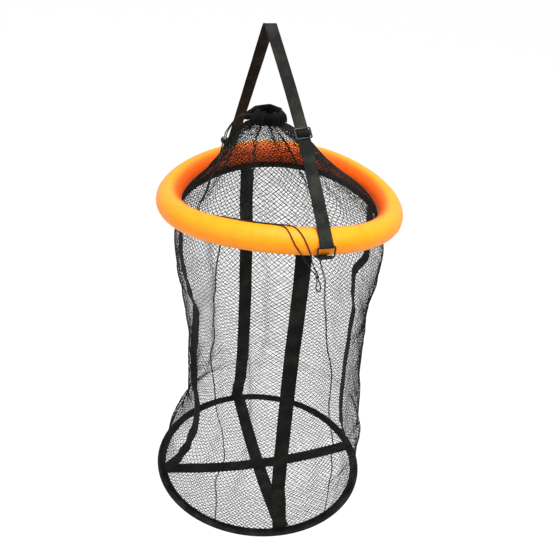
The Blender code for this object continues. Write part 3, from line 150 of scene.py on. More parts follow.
def ring_height(azimuth):
    """Height of the float tube's centreline, which saddles as it hangs."""
    return RING_MIDDLE.z + RING_WARP * cos(2 * (azimuth - RING_WARP_AZIMUTH))


def at_ring(azimuth, radius, height):
    """A point by azimuth and radius about the ring's axis, and height."""
    return Vector((RING_MIDDLE.x, RING_MIDDLE.y, height)) + outward(azimuth) * radius


def tube_point(azimuth, angle, reach):
    """A point about the float tube: angle 0 is outward and a right angle is up."""
    return at_ring(azimuth, RING_RADIUS + reach * cos(angle), ring_height(azimuth) + reach * sin(angle))


def seam_point(azimuth, depth, side):
    """A point in the sleeve's seam: depth from the tube's centre, side towards the outside."""
    radius = RING_RADIUS + depth * cos(SEAM_ANGLE) - side * sin(SEAM_ANGLE)
    height = ring_height(azimuth) + depth * sin(SEAM_ANGLE) + side * cos(SEAM_ANGLE)
    return at_ring(azimuth, radius, height)


def round_noise(azimuth, rate, shift=(0, 0, 0)):
    """Smooth noise round the ring; a higher rate has shorter waves, and a shift is another pattern."""
    return noise.noise(outward(azimuth) * rate + Vector(shift))


def spread(start, end, steps):
    """Values from start to end, both included."""
    return [start + (end - start) * i / steps for i in range(steps + 1)]


def along(table, share):
    """A smooth value from a table of (share, value) pairs."""
    for (low, first), (high, second) in zip(table, table[1:]):
        if share <= high:
            part = max(0, (share - low) / (high - low))
            return first + (second - first) * part * part * (3 - 2 * part)
    return table[-1][1]


def smooth_route(points, spacing, each=0):
    """A smooth curve through the points, with more between them by the spacing, or that many each."""
    route = [points[0]]
    padded = [2 * points[0] - points[1], *points, 2 * points[-1] - points[-2]]
    for a, b, c, d in zip(padded, padded[1:], padded[2:], padded[3:]):
        pieces = each or max(1, round((c - b).length / spacing))
        for k in range(1, pieces + 1):
            t = k / pieces
            route.append((2 * b + (c - a) * t + (2 * a - 5 * b + 4 * c - d) * t**2
                          + (3 * b - a - 3 * c + d) * t**3) / 2)
    return route


def path_length(points):
    """Length of a run of points."""
    return sum((far - near).length for near, far in zip(points, points[1:]))


# %% [markdown]
# ## Helpers for finishes
#
# Colours are easiest to think of as the hex values a paint program shows. Blender mixes
# light in linear values, so one function turns the one into the other. The others add a node
# each and hand on its output: noise, stripes, a mix of two heights or two colours, a bump.
# Every finish below is put together from just these.

# %% Colour and node helpers
SRGB_KNEE = 0.04045
SRGB_SLOPE = 12.92
SRGB_LIFT = 0.055
SRGB_POWER = 2.4


def linear(hex_colour):
    """Linear red, green, blue and alpha of an sRGB hex colour."""
    values = [int(hex_colour[i:i + 2], 16) / 255 for i in (1, 3, 5)]
    return (*[v / SRGB_SLOPE if v <= SRGB_KNEE else ((v + SRGB_LIFT) / (1 + SRGB_LIFT)) ** SRGB_POWER
              for v in values], 1)


def add_node(tree, kind, settings=None, links=None, **sockets):
    """Add a node: settings are its own fields, sockets its input values, links the outputs fed in."""
    made = tree.nodes.new(kind)
    for field, value in (settings or {}).items():
        setattr(made, field, value)
    for name, value in sockets.items():
        made.inputs[name.replace("_", " ")].default_value = value
    for name, output in (links or {}).items():
        tree.links.new(output, made.inputs[name])
    return made


def start_finish(name, colour, roughness, **sockets):
    """A new material whose shader has its plain values set; returns material, tree and shader."""
    finish = bpy.data.materials.new(name)
    finish.use_nodes = True
    tree = finish.node_tree
    shader = tree.nodes["Principled BSDF"]
    shader.inputs["Base Color"].default_value = linear(colour)
    shader.inputs["Roughness"].default_value = roughness
    for socket, value in sockets.items():
        shader.inputs[socket.replace("_", " ")].default_value = value
    return finish, tree, shader


def feed(tree, shader, **outputs):
    """Link outputs into a shader's sockets."""
    for name, output in outputs.items():
        tree.links.new(output, shader.inputs[name.replace("_", " ")])


def place_on(tree, kind):
    """Coordinates on a piece: Object in space or UV on the flat cloth, both in metres."""
    return add_node(tree, "ShaderNodeTexCoord").outputs[kind]


def speckle(tree, scale, detail, distortion=0.0, place=None):
    """Smooth noise through the piece, or over the place given."""
    made = add_node(tree, "ShaderNodeTexNoise", links={"Vector": place or place_on(tree, "Object")},
                    Scale=scale, Detail=detail, Distortion=distortion)
    return made.outputs["Fac"]


def stripes(tree, place, direction, scale, distortion=0.0):
    """Soft stripes over a place."""
    made = add_node(tree, "ShaderNodeTexWave", {"bands_direction": direction}, {"Vector": place},
                    Scale=scale, Distortion=distortion)
    return made.outputs["Fac"]


def mixed_heights(tree, first, second, share):
    """Two heights in one; share is how much the second counts."""
    made = add_node(tree, "ShaderNodeMix", {"data_type": "FLOAT"}, {"A": first, "B": second},
                    Factor=share)
    return made.outputs["Result"]


def shade_between(tree, factor, first, second):
    """A colour that goes from one hex colour to another with a factor."""
    made = add_node(tree, "ShaderNodeMix", {"data_type": "RGBA"}, {"Factor": factor})
    made.inputs["A"].default_value = linear(first)
    made.inputs["B"].default_value = linear(second)
    return made.outputs["Result"]


def value_between(tree, factor, low, high):
    """A value that goes from low to high with a factor."""
    made = add_node(tree, "ShaderNodeMapRange", links={"Value": factor}, To_Min=low, To_Max=high)
    return made.outputs["Result"]


def relief(tree, height, strength, depth, under=None):
    """A bump of some metres' depth from a height, laid over another bump if one is given."""
    links = {"Height": height, "Normal": under} if under else {"Height": height}
    made = add_node(tree, "ShaderNodeBump", links=links, Strength=strength, Distance=depth)
    return made.outputs["Normal"]


# %% [markdown]
# ## Woven webbing
#
# The straps are black polypropylene webbing, woven in a fine rib across the band with a
# herringbone running along it. Cloth could be given a picture of its weave. Two Wave
# textures on the band's own UV map do the same at any distance: one draws the ribs, 1.3 mm
# apart, and one the slanting threads. A noise makes it a little duller where it is handled,
# and the same noise paints lighter patches of sheen into the black.

# %% Webbing finish


def webbing_finish():
    """Black polypropylene webbing, ribbed across, dull where it is handled, with painted patches of
    sheen.
    """
    finish, tree, shader = start_finish("polypropylene_webbing", "#171916", 0.6, Specular_IOR_Level=0.1)
    cloth = place_on(tree, "UV")
    slant = add_node(tree, "ShaderNodeMapping", links={"Vector": cloth}, Rotation=(0, 0, radians(35)))
    ribs = stripes(tree, cloth, "X", scale=250.0, distortion=0.4)
    threads = stripes(tree, slant.outputs["Vector"], "Y", scale=420.0, distortion=0.3)
    dust_and_sheen = speckle(tree, scale=28.0, detail=4.0)
    # Painted sheen: where the noise is high the black is lifted to a lighter grey, standing in for
    # glints.
    painted_sheen = add_node(tree, "ShaderNodeMapRange", links={"Value": dust_and_sheen}, From_Min=0.45, From_Max=0.75)
    feed(tree, shader,
         Base_Color=shade_between(tree, painted_sheen.outputs["Result"], "#0D0F0C", "#2F312B"),
         Roughness=value_between(tree, dust_and_sheen, 0.50, 0.72),
         Normal=relief(tree, mixed_heights(tree, ribs, threads, share=0.4), strength=0.55, depth=0.0006))
    return finish


WEBBING = webbing_finish()

# %% [markdown]
# ## Twine, cord, cloth and plastic
#
# The net is knotless black polyester twine. The drawcord is a round braid, and its slanting
# plaits show as a fine diamond bump along it. The hem is thin nylon taffeta. The moulded
# fittings are acetal, smooth but not shiny. The wire and the foam are hidden, and still have
# their own finishes.

# %% Twine and cord finishes


def twine_finish():
    """Knotless polyester twine, black with a dull glint."""
    finish, tree, shader = start_finish("polyester_twine", "#0E0F0E", 0.6, Specular_IOR_Level=0.1)
    fleck = speckle(tree, scale=420.0, detail=2.0)
    feed(tree, shader, Base_Color=shade_between(tree, fleck, "#080908", "#191A18"),
         Normal=relief(tree, fleck, strength=0.5, depth=0.0002))
    return finish


def cord_finish():
    """Round braided cord: plaits cross along its length."""
    finish, tree, shader = start_finish("braided_nylon_cord", "#0F100F", 0.58, Specular_IOR_Level=0.16)
    plaits = stripes(tree, place_on(tree, "Object"), "DIAGONAL", scale=330.0, distortion=0.6)
    fleck = speckle(tree, scale=900.0, detail=2.0)
    feed(tree, shader, Base_Color=shade_between(tree, fleck, "#0A0B0A", "#1C1D1C"),
         Normal=relief(tree, plaits, strength=0.6, depth=0.0003))
    return finish


TWINE = twine_finish()
CORD = cord_finish()

# %% Cloth, moulded and hidden finishes


def taffeta_finish():
    """Thin nylon taffeta, black with a green cast, creased where it gathers."""
    finish, tree, shader = start_finish("nylon_taffeta", "#060906", 0.50, Specular_IOR_Level=0.08)
    crease = speckle(tree, scale=170.0, detail=3.0, distortion=1.2)
    threads = stripes(tree, place_on(tree, "Object"), "Z", scale=700.0)
    weave = mixed_heights(tree, crease, threads, share=0.15)
    feed(tree, shader, Normal=relief(tree, weave, strength=0.8, depth=0.0012))
    return finish


def acetal_finish():
    """Injection-moulded acetal: black, satin, with a faint mould texture."""
    finish, tree, shader = start_finish("moulded_acetal", "#0E0F10", 0.35, Specular_IOR_Level=0.3)
    grain = speckle(tree, scale=1500.0, detail=2.0)
    feed(tree, shader, Roughness=value_between(tree, grain, 0.27, 0.4),
         Normal=relief(tree, grain, strength=0.25, depth=0.0001))
    return finish


def steel_finish():
    """Drawn spring steel wire with fine lines along it."""
    finish, tree, shader = start_finish("drawn_spring_steel", "#B4B5B8", 0.35, Metallic=1.0)
    lines = speckle(tree, scale=600.0, detail=2.0)
    feed(tree, shader, Roughness=value_between(tree, lines, 0.25, 0.5))
    return finish


def foam_finish():
    """Closed-cell polyethylene foam: white, matt, with its small cells as a bump."""
    finish, tree, shader = start_finish("polyethylene_foam", "#EDEBE4", 0.85)
    cells = add_node(tree, "ShaderNodeTexVoronoi", links={"Vector": place_on(tree, "Object")},
                     Scale=700.0)
    feed(tree, shader, Normal=relief(tree, cells.outputs["Distance"], strength=0.5, depth=0.0004))
    return finish


TAFFETA = taffeta_finish()
ACETAL = acetal_finish()
STEEL = steel_finish()
FOAM = foam_finish()

# %% [markdown]
# ## The orange cover's cloth
#
# The float's cover is nylon with a thin coating: bright orange, a little glossy, and so thin
# that its weave barely shows. The weave is drawn at 0.9 mm, coarser than the real thread, so
# that it shows at all. Small dents scatter the highlight into the soft patches of the photograph.
# Round the inside of the ring the cloth lies gathered and doubled at its seam, and there a deeper,
# redder orange is painted in as shade, so the colour changes with the distance from the ring's axis.

# %% Cover finish


def painted_inner_shade(tree):
    """Painted-shade mask: 0 at the top of the tube to 1 on the ring's inner side, by the distance from
    the axis.
    """
    spot = place_on(tree, "Object")
    for operation, vector in (("SUBTRACT", (RING_MIDDLE.x, RING_MIDDLE.y, 0)), ("MULTIPLY", (1, 1, 0))):
        step = add_node(tree, "ShaderNodeVectorMath", {"operation": operation}, {0: spot})
        step.inputs[1].default_value = vector
        spot = step.outputs["Vector"]
    radius = add_node(tree, "ShaderNodeVectorMath", {"operation": "LENGTH"}, {0: spot})
    share = add_node(tree, "ShaderNodeMapRange", {"interpolation_type": "SMOOTHSTEP"},
                     {"Value": radius.outputs["Value"]},
                     From_Min=RING_RADIUS, From_Max=RING_RADIUS - TUBE_RADIUS * 3 / 4)
    return share.outputs["Result"]


def coated_nylon_finish():
    """Coated nylon cover cloth: orange with a broad soft highlight, and a deeper, redder painted shade on
    the ring's inner side.
    """
    finish, tree, shader = start_finish("coated_nylon", "#FE9A14", 0.40, Specular_IOR_Level=0.2)
    cloth = place_on(tree, "UV")
    ways = [stripes(tree, cloth, direction, scale=350.0) for direction in ("X", "Y")]
    weave = mixed_heights(tree, *ways, share=0.5)
    dents = speckle(tree, scale=45.0, detail=3.0)
    round_tube = add_node(tree, "ShaderNodeMapping", links={"Vector": cloth}, Scale=(70, 9, 1))
    folds = speckle(tree, scale=1.0, detail=2.0, distortion=0.6, place=round_tube.outputs["Vector"])
    shade = shade_between(tree, dents, "#FB8B0C", "#FF9E14")
    # Painted shade: the colour turns to a deeper, redder orange towards the ring's inner side.
    inner_shade_colour = add_node(tree, "ShaderNodeMix", {"data_type": "RGBA"},
                    {"Factor": painted_inner_shade(tree), "A": shade})
    inner_shade_colour.inputs["B"].default_value = linear("#EE5A08")
    feed(tree, shader, Base_Color=inner_shade_colour.outputs["Result"],
         Normal=relief(tree, mixed_heights(tree, weave, dents, share=0.7), strength=0.3, depth=0.0012,
                       under=relief(tree, folds, strength=0.35, depth=0.006)))
    return finish


COVER = coated_nylon_finish()

# %% [markdown]
# ## How cloth surfaces are made
#
# Every sheet here is a flat grid at first, like cloth on a cutting table. One helper starts
# a grid with an operator, notes each corner's place on the flat cloth as its UV in metres,
# and then carries each point to its place in space. Where the cloth meets itself, doubles
# are merged. The same helper makes the tube round the float, the hem and every strap.

# %% Cloth helper
MERGE_DISTANCE = 1e-6


def wrap_cloth(mesh_data, columns, rows, place, cloth_size=(1, 1)):
    """Carry a new grid's points to place(u, v); cloth_size is the flat cloth in metres."""
    uv_layer = mesh_data.loops.layers.uv.verify()
    made = bmesh.ops.create_grid(mesh_data, x_segments=columns, y_segments=rows, size=1 / 2)
    points = made["verts"]
    faces = {face for point in points for face in point.link_faces}
    for face in faces:
        for corner in face.loops:
            flat = corner.vert.co
            corner[uv_layer].uv = ((flat.x + 1 / 2) * cloth_size[0], (flat.y + 1 / 2) * cloth_size[1])
    for point in points:
        point.co = place(point.co.x + 1 / 2, point.co.y + 1 / 2)
    bmesh.ops.remove_doubles(mesh_data, verts=points, dist=MERGE_DISTANCE)


def add_piece(name, mesh_data, finish, body, replaced=(), smooth_angle=radians(50)):
    """An object from a bmesh, on its finish, riding on a body."""
    bmesh.ops.recalc_face_normals(mesh_data, faces=mesh_data.faces)
    mesh = bpy.data.meshes.new(name)
    mesh_data.to_mesh(mesh)
    mesh_data.free()
    mesh.shade_smooth()
    mesh.set_sharp_from_angle(angle=smooth_angle)
    mesh.materials.append(finish)
    piece = add_object(name, mesh)
    if replaced:
        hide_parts(*replaced)
    if body:
        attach(piece, body)
    print(f"{name}: {len(mesh.polygons)} faces")
    return piece


def closed_band(name, outline, columns, finish, body, place, replaced=(), length=1.0, girth=1.0):
    """A ring-shaped piece: place(azimuth, outline point) for a closed outline, all the way round."""
    count = len(outline)
    mesh_data = bmesh.new()
    wrap_cloth(mesh_data, columns, count,
               lambda u, v: place(FULL_TURN * u, outline[round(v * count) % count]), (length, girth))
    return add_piece(name, mesh_data, finish, body, replaced)


# %% [markdown]
# ## How lines become solid
#
# Cords, twines, wires and the bars of the fittings are lines with a thickness, and a curve
# with a bevel is just that. The helpers below make such a curve, and take its surface as a
# mesh where a piece has to be more than one curve can hold.

# %% Curve helpers


def new_curve(name, **settings):
    """A curve with its settings."""
    curve = bpy.data.curves.new(name, "CURVE")
    for field, value in settings.items():
        setattr(curve, field, value)
    return curve


def add_line(curve, points, closed=False, smooth=False):
    """Run a curve straight from point to point; points may be flat."""
    spline = curve.splines.new("POLY")
    spline.points.add(len(points) - 1)
    for spot, point in zip(spline.points, points):
        spot.co = (*point.to_3d(), 1)
    spline.use_cyclic_u = closed
    spline.use_smooth = smooth


def surface_of(piece):
    """A new mesh of an object, as its bevel or its modifiers leave it."""
    graph = bpy.context.evaluated_depsgraph_get()
    return bpy.data.meshes.new_from_object(piece.evaluated_get(graph))


def solid_line(name, curve):
    """A curve's surface, open to editing, with its corners merged."""
    drawn = add_object(name, curve)
    mesh_data = bmesh.new()
    mesh_data.from_mesh(surface_of(drawn))
    bpy.data.objects.remove(drawn)
    bmesh.ops.remove_doubles(mesh_data, verts=mesh_data.verts, dist=MERGE_DISTANCE)
    return mesh_data


# %% [markdown]
# ## The float ring's cover
#
# The cover is a strip of coated nylon, folded round the foam and sewn along the inside
# under the tube. A plain torus would look like plastic. Cloth bent round a hoop is too long
# on the inside of the bend, so it puckers there: the helper below draws small folds across
# the tube that grow towards the inner side, and longer soft dents elsewhere.

# %% Build the cover
COVER_COLUMNS = 720
COVER_ARC_STEPS = 40
COVER_PUCKER = 0.0010
COVER_DENT = 0.0005
COVER_WAVES = 9
FOLD_WAVES_SHARE = 3
DENT_WAVES_SHARE = 0.6
PATCH_WAVES = 2.2
PATCH_LIFT = 0.35
FOLD_LIFT = 0.15
FOLD_SLANT = 0.35
DENT_SLANT = 1.3


def cover_swell(azimuth, angle):
    """How far the cover stands off: folds across the inner side, soft dents elsewhere."""
    inward = max(0, -cos(angle)) ** 2
    spot = outward(azimuth) * COVER_WAVES
    patchy = max(0, round_noise(azimuth, PATCH_WAVES, (0, 0, 7)) + PATCH_LIFT)
    folds = noise.noise(Vector((*spot.xy * FOLD_WAVES_SHARE, angle * FOLD_SLANT))) + FOLD_LIFT
    dents = noise.noise(Vector((*spot.xy * DENT_WAVES_SHARE, angle * DENT_SLANT)))
    return COVER_PUCKER * inward * patchy * folds + COVER_DENT * dents * (1 - inward) / 2


def cover_outline():
    """Closed section: ('arc', angle, reach) round the tube and back inside, with two lips at the seam."""
    lip = TUBE_RADIUS + SEAM_ALLOWANCE
    far_side = SEAM_HALF_GAP + SLEEVE_THICKNESS
    inner_reach = TUBE_RADIUS - SLEEVE_THICKNESS
    turn = asin(far_side / TUBE_RADIUS)
    inner_turn = asin(SEAM_HALF_GAP / inner_reach)
    outline = [("arc", a, TUBE_RADIUS)
               for a in spread(SEAM_ANGLE + turn, SEAM_ANGLE + FULL_TURN - turn, COVER_ARC_STEPS)]
    outline += [("lip", lip, -far_side), ("lip", lip, -SEAM_HALF_GAP)]
    way_back = spread(SEAM_ANGLE + FULL_TURN - inner_turn, SEAM_ANGLE + inner_turn, COVER_ARC_STEPS // 2)
    outline += [("arc", a, inner_reach) for a in way_back]
    outline += [("lip", lip, SEAM_HALF_GAP), ("lip", lip, far_side)]
    return outline


def cover_place(azimuth, spot):
    """A point of the cover's section."""
    kind, first, second = spot
    if kind == "lip":
        return seam_point(azimuth, first, second)
    swell = cover_swell(azimuth, first) if second == TUBE_RADIUS else 0
    return tube_point(azimuth, first, second + swell)


RING_LENGTH = FULL_TURN * RING_RADIUS
cover = closed_band("float_cover", cover_outline(), COVER_COLUMNS, COVER, "ring",
                    cover_place, ["float_sleeve"], RING_LENGTH, 2 * FULL_TURN * TUBE_RADIUS)

# %% [markdown]
# ## The binding
#
# A folded tape closes the cover's seam and takes the edges of both nets. It could be a flat
# strip, but the photograph shows it as a thick dark cord-like edge inside the ring, so it is
# a U-shaped band with a rounded fold that wavers a little where the net pulls on it.

# %% Build the binding
BINDING_WAVER = 0.0004
BINDING_WAVES = 14
BINDING_FOLD_STEPS = 6
BINDING_COLUMNS = 360


def binding_outline():
    """The folded tape as (depth, side) points, with a round fold."""
    outer = SEAM_HALF_GAP + SLEEVE_THICKNESS + CLEARANCE + BINDING_THICKNESS
    inner = outer - BINDING_THICKNESS
    top = TUBE_RADIUS + CLEARANCE
    floor = SEAM_BOTTOM - BINDING_THICKNESS
    fold = [(SEAM_BOTTOM - outer / 2 + outer / 2 * sin(a), -outer * cos(a))
            for a in spread(0, pi, BINDING_FOLD_STEPS)]
    back = [(top, inner), (floor, inner), (floor, -inner), (top, -inner)]
    return [(top, -outer), *fold, (top, outer), *back]


def binding_place(azimuth, spot):
    """A point of the binding, wavering slightly along the ring."""
    depth, side = spot
    waver = BINDING_WAVER * round_noise(azimuth, BINDING_WAVES)
    return seam_point(azimuth, depth, side + waver * (depth > TUBE_RADIUS + 2 * CLEARANCE))


closed_band("ring_binding_tape", binding_outline(), BINDING_COLUMNS, WEBBING, "ring",
            binding_place, ["ring_binding"], RING_LENGTH, 2 * SEAM_ALLOWANCE)

# %% [markdown]
# ## Where the cords run
#
# The drawcord circles inside the hem, comes out of it as two strands, goes through the cord
# lock, lies on the collar and on the float, drops over the front and ends in a knot. The
# route is a short list of points: some are given about the ring's middle, some as
# azimuth and level on the collar, some as azimuth and angle on the tube. A smooth curve runs
# through them, and each strand keeps half a spacing from the middle line of the pair.

# %% Collar surface that the cords lie on
HEM_TOP = 0.178
HEM_CORD_RADIUS = 0.030
HEM_EXIT_AZIMUTH = radians(-171)
HEM_EXIT_REACH = 0.052
HEM_EXIT_WIDTH = 0.011
HEM_THICKNESS = 0.0009
NET_THICKNESS = 0.0010
COLLAR_LEAN = Vector((-0.039, 0.012, 0))
COLLAR_PLEATS = 9
COLLAR_PLEAT_DEPTH = 0.0045
COLLAR_NECK_SHARE = 0.87
COLLAR_STAND_OFF = 0.0012
COLLAR_FOOT_ANGLES = (radians(-153), radians(-178))
COLLAR_PROFILE = (
    (0.07, 0.830), (0.17, 0.730), (0.28, 0.638), (0.50, 0.474), (0.65, 0.382), (0.78, 0.285),
    (COLLAR_NECK_SHARE, 0.1506), (0.90, 0.1277), (0.96, 0.1277),
)


def collar_line(azimuth):
    """The collar's section as (radius, level above the ring's plane), from under the tube to the neck."""
    reach = TUBE_RADIUS + COLLAR_STAND_OFF + NET_THICKNESS / 2
    rise = ring_height(azimuth) - RING_MIDDLE.z
    binding_side = SEAM_HALF_GAP + SLEEVE_THICKNESS + 3 * CLEARANCE + BINDING_THICKNESS
    foot = SEAM_ANGLE - asin(binding_side / reach)
    line = [(RING_RADIUS + reach * cos(b), rise + reach * sin(b)) for b in (foot, *COLLAR_FOOT_ANGLES)]
    for level_share, radius_share in COLLAR_PROFILE:
        fade = (1 - level_share) * (level_share < COLLAR_NECK_SHARE)
        line.append((radius_share * RING_RADIUS, level_share * HEM_TOP + rise * fade))
    return line


def collar_point(azimuth, radius, level):
    """A point on the collar, whose centre leans over as it rises."""
    lean = COLLAR_LEAN * max(0, min(1, level / HEM_TOP / COLLAR_NECK_SHARE))
    return at_ring(azimuth, radius, level + RING_MIDDLE.z) + lean


def hem_point(azimuth, radius, level):
    """A point about the hem's own leaning axis."""
    return at_ring(azimuth, radius, level + RING_MIDDLE.z) + COLLAR_LEAN


def beside_collar(azimuth, level):
    """A cord's place and the way out where it lies on the collar."""
    a = radians(azimuth)
    outline = collar_line(a)
    for (far_r, low), (near_r, high) in zip(outline, outline[1:]):
        if low <= level <= high:
            radius = far_r + (near_r - far_r) * (level - low) / (high - low)
            slope = Vector((high - low, far_r - near_r)).normalized()
    stand_off = COLLAR_PLEAT_DEPTH * level / HEM_TOP + NET_THICKNESS / 2 + CLEARANCE + CORD_RADIUS
    normal = outward(a) * slope.x + Vector((0, 0, slope.y))
    return collar_point(a, radius, level) + normal * stand_off, normal


# %% Frames of the cord lock and the knot
LOCK_CENTRE = Vector((-0.1242, 0.0110, 0.1209))
LOCK_LOWER_POINT = Vector((-0.1440, -0.0280, 0.0800))
LOCK_FACE = Vector((-0.06, -0.62, 0.78))
LOCK_RADIUS = 0.0076
LOCK_SLIDE_UP = 0.0060
KNOT_CENTRE = Vector((0.0040, -0.2665, -0.0490))
KNOT_AXIS = Vector((-0.25, 0.02, 0.97))
KNOT_RADIUS = 0.0042
KNOT_STRETCH_SHARE = 1.12
KNOT_REACH = KNOT_RADIUS * KNOT_STRETCH_SHARE


def axes_frame(origin, x_axis, z_hint):
    """A frame at origin with X along x_axis and Z as near z_hint as it can be."""
    x = x_axis.normalized()
    z = (z_hint - x * z_hint.dot(x)).normalized()
    made = Matrix((x, z.cross(x), z)).transposed().to_4x4()
    made.translation = origin
    return made


LOCK = axes_frame(RING_MIDDLE + LOCK_CENTRE, LOCK_CENTRE - LOCK_LOWER_POINT, LOCK_FACE)
KNOT = axes_frame(RING_MIDDLE + KNOT_CENTRE, KNOT_AXIS, Vector((0, -1, 0)))

# %% Lay the two strands
CORD_PITCH = 0.0060
TUBE_CORD_PITCH = 0.0080
FREE_ROUTE = ((-0.1010, 0.0070, 0.1680), (-0.1115, 0.0125, 0.1520))
COLLAR_ROUTE = ((-170, 0.0610), (-168, 0.0450), (-163, 0.0290))
TROUGH_MOUTH = Vector((-0.1896, -0.0766, 0.0145))
RING_ROUTE = (
    (-152, 159), (-145, 150), (-138, 137), (-131, 121), (-125, 111), (-117, 108), (-110, 108),
)
STRAND_A_FRONT = ((-105.5, 97), (-103.2, 80), (-101.6, 52), (-99.6, 14), (-97, -24))
STRAND_B_FRONT = ((-103.5, 111), (-100, 98), (-98, 72), (-95.8, 38), (-94.2, 6), (-92.6, -28))
STRAND_A_HANG = ((-0.0170, -0.2610, -0.0210), (-0.0070, -0.2640, -0.0360))
STRAND_B_HANG = ((-0.0070, -0.2615, -0.0200), (0.0000, -0.2640, -0.0350))
END_LOOP = (
    (0.0050, -0.2668, -0.0620), (0.0040, -0.2670, -0.0710), (0.0075, -0.2670, -0.0790),
    (0.0128, -0.2670, -0.0770), (0.0125, -0.2668, -0.0680),
)


def cord_level():
    """Level of the drawcord's centre in the hem above the ring's plane."""
    return HEM_TOP - HEM_THICKNESS - 2 * CLEARANCE - CORD_RADIUS


def along_tube(route, side=0):
    """A cord's points where it lies on the float; side sets a pair apart."""
    reach = TUBE_RADIUS + CLEARANCE + CORD_RADIUS
    aside = side * CORD_SPACING / 2 / reach
    stops = [(radians(azimuth), radians(angle) - aside) for azimuth, angle in route]
    points = [tube_point(*stops[0], reach)]
    for (azimuth, angle), (next_azimuth, next_angle) in zip(stops, stops[1:]):
        length = hypot(RING_RADIUS * (next_azimuth - azimuth), TUBE_RADIUS * (next_angle - angle))
        pieces = ceil(length / TUBE_CORD_PITCH)
        turns, rises = spread(azimuth, next_azimuth, pieces), spread(angle, next_angle, pieces)
        points += [tube_point(a, b, reach) for a, b in zip(turns[1:], rises[1:])]
    return points


def paired_route(side):
    """One strand's points from the hem to the ring; side is 1 for strand A and -1 for B."""
    face = LOCK.col[2].xyz
    up = Vector((0, 0, 1))
    way_out = outward(HEM_EXIT_AZIMUTH)
    start = hem_point(HEM_EXIT_AZIMUTH, HEM_EXIT_REACH + CLEARANCE, cord_level())
    upper = LOCK_RADIUS + LOCK_SLIDE_UP
    lower = (LOCK_CENTRE - LOCK_LOWER_POINT).length
    reaches = (upper + CORD_SPACING, upper, 2 * CORD_SPACING - lower, -lower)
    in_lock = [LOCK @ Vector((x, 0, 0)) for x in reaches]
    stops = [(start, up), (start + way_out * CORD_SPACING, up)]
    stops += [(RING_MIDDLE + Vector(p), up + face) for p in FREE_ROUTE]
    stops += [(spot, face) for spot in in_lock]
    stops += [beside_collar(*p) for p in COLLAR_ROUTE]
    stops += [(RING_MIDDLE + TROUGH_MOUTH, up)]
    spots = [spot for spot, _ in stops]
    runs = [way_out]
    runs += [far - near for near, far in zip(spots, [*spots[2:], along_tube(RING_ROUTE)[0]])]
    points = []
    for (spot, normal), run in zip(stops, runs):
        straight = -LOCK.col[0].xyz if spot in in_lock else run
        points.append(spot + straight.cross(normal).normalized() * side * CORD_SPACING / 2)
    return points + along_tube(RING_ROUTE, side)


def cord_curve(name, points, replaced, closed=False):
    """A round cord as one bevelled curve with filled ends."""
    curve = new_curve(name, dimensions="3D", bevel_depth=CORD_RADIUS, bevel_resolution=4,
                      use_fill_caps=True)
    add_line(curve, points, closed, True)
    curve.materials.append(CORD)
    made = add_object(name, curve)
    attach(made, "ring")
    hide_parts(replaced)
    return made


def strand_points(side, front, hang):
    """All the points of one strand, from the hem to the knot."""
    route = paired_route(side) + along_tube(front) + [RING_MIDDLE + Vector(p) for p in hang]
    across = side * CORD_SPACING / 2
    route += [KNOT @ Vector((reach, across, 0)) for reach in (KNOT_REACH + CORD_SPACING, KNOT_REACH)]
    return smooth_route(route, CORD_PITCH)


strands, strand_starts = {}, {}
for letter, *course in (("a", 1, STRAND_A_FRONT, STRAND_A_HANG),
                        ("b", -1, STRAND_B_FRONT, STRAND_B_HANG)):
    points = strand_points(*course)
    strands[letter] = cord_curve(f"drawcord_free_strand_{letter}", points, f"drawcord_strand_{letter}")
    strand_starts[letter] = list(points[0])
    print(f"strand {letter}: {path_length(points):.3f} m")

# %% Lay the end loop and the run inside the hem
HEM_RUN_STEPS = 60


def end_loop_points():
    """The short loop below the knot that a finger pulls."""
    half = CORD_SPACING / 2
    near, far = -KNOT_REACH, -KNOT_REACH - CORD_SPACING
    start = [KNOT @ Vector((near, half, 0)), KNOT @ Vector((far, half, 0))]
    finish = [KNOT @ Vector((far, -half, 0)), KNOT @ Vector((near, -half, 0))]
    return smooth_route([*start, *(RING_MIDDLE + Vector(p) for p in END_LOOP), *finish], CORD_SPACING / 2)


def hem_run_points():
    """The cord's run round inside the hem, out through the gap at both ends."""
    turn = HEM_EXIT_WIDTH / HEM_CORD_RADIUS
    start = HEM_EXIT_AZIMUTH + turn
    round_run = [hem_point(a, HEM_CORD_RADIUS, cord_level())
                 for a in spread(start, start + FULL_TURN - 2 * turn, HEM_RUN_STEPS)]
    aside = sideways(HEM_EXIT_AZIMUTH) * CORD_SPACING / 2
    leads = [[hem_point(HEM_EXIT_AZIMUTH, reach, cord_level()) - aside * side
              for reach in (HEM_CORD_RADIUS + CORD_SPACING / 2, HEM_EXIT_REACH)] for side in (1, -1)]
    return smooth_route([*reversed(leads[1]), *round_run, *leads[0]], CORD_SPACING)


loop_points = end_loop_points()
end_loop = cord_curve("drawcord_pull_loop", loop_points, "drawcord_end_loop")
cord_curve("drawcord_round_hem", hem_run_points(), "drawcord_in_hem")
print(f"end loop: {path_length(loop_points):.3f} m")

# %% [markdown]
# ## The knot
#
# An overhand knot pulled tight looks like three loops laid over each other. A trefoil curve
# is just that shape, so one closed curve with a round bevel gives the lump its real turns,
# which a lobed ball would not.

# %% Tie the knot
KNOT_TURN_RADIUS = 0.00102
KNOT_DEPTH = 0.00135
KNOT_STEPS = 72


def trefoil(turn):
    """A point of the knot in its own frame: X up the strands."""
    across = sin(turn) + 2 * sin(2 * turn)
    up = cos(turn) - 2 * cos(2 * turn)
    return KNOT @ Vector((up * KNOT_TURN_RADIUS, across * KNOT_TURN_RADIUS, -sin(3 * turn) * KNOT_DEPTH))


knot_points = [trefoil(turn) for turn in spread(0, FULL_TURN, KNOT_STEPS)[:-1]]
knot = cord_curve("drawcord_overhand_knot", knot_points, "drawcord_knot", True)

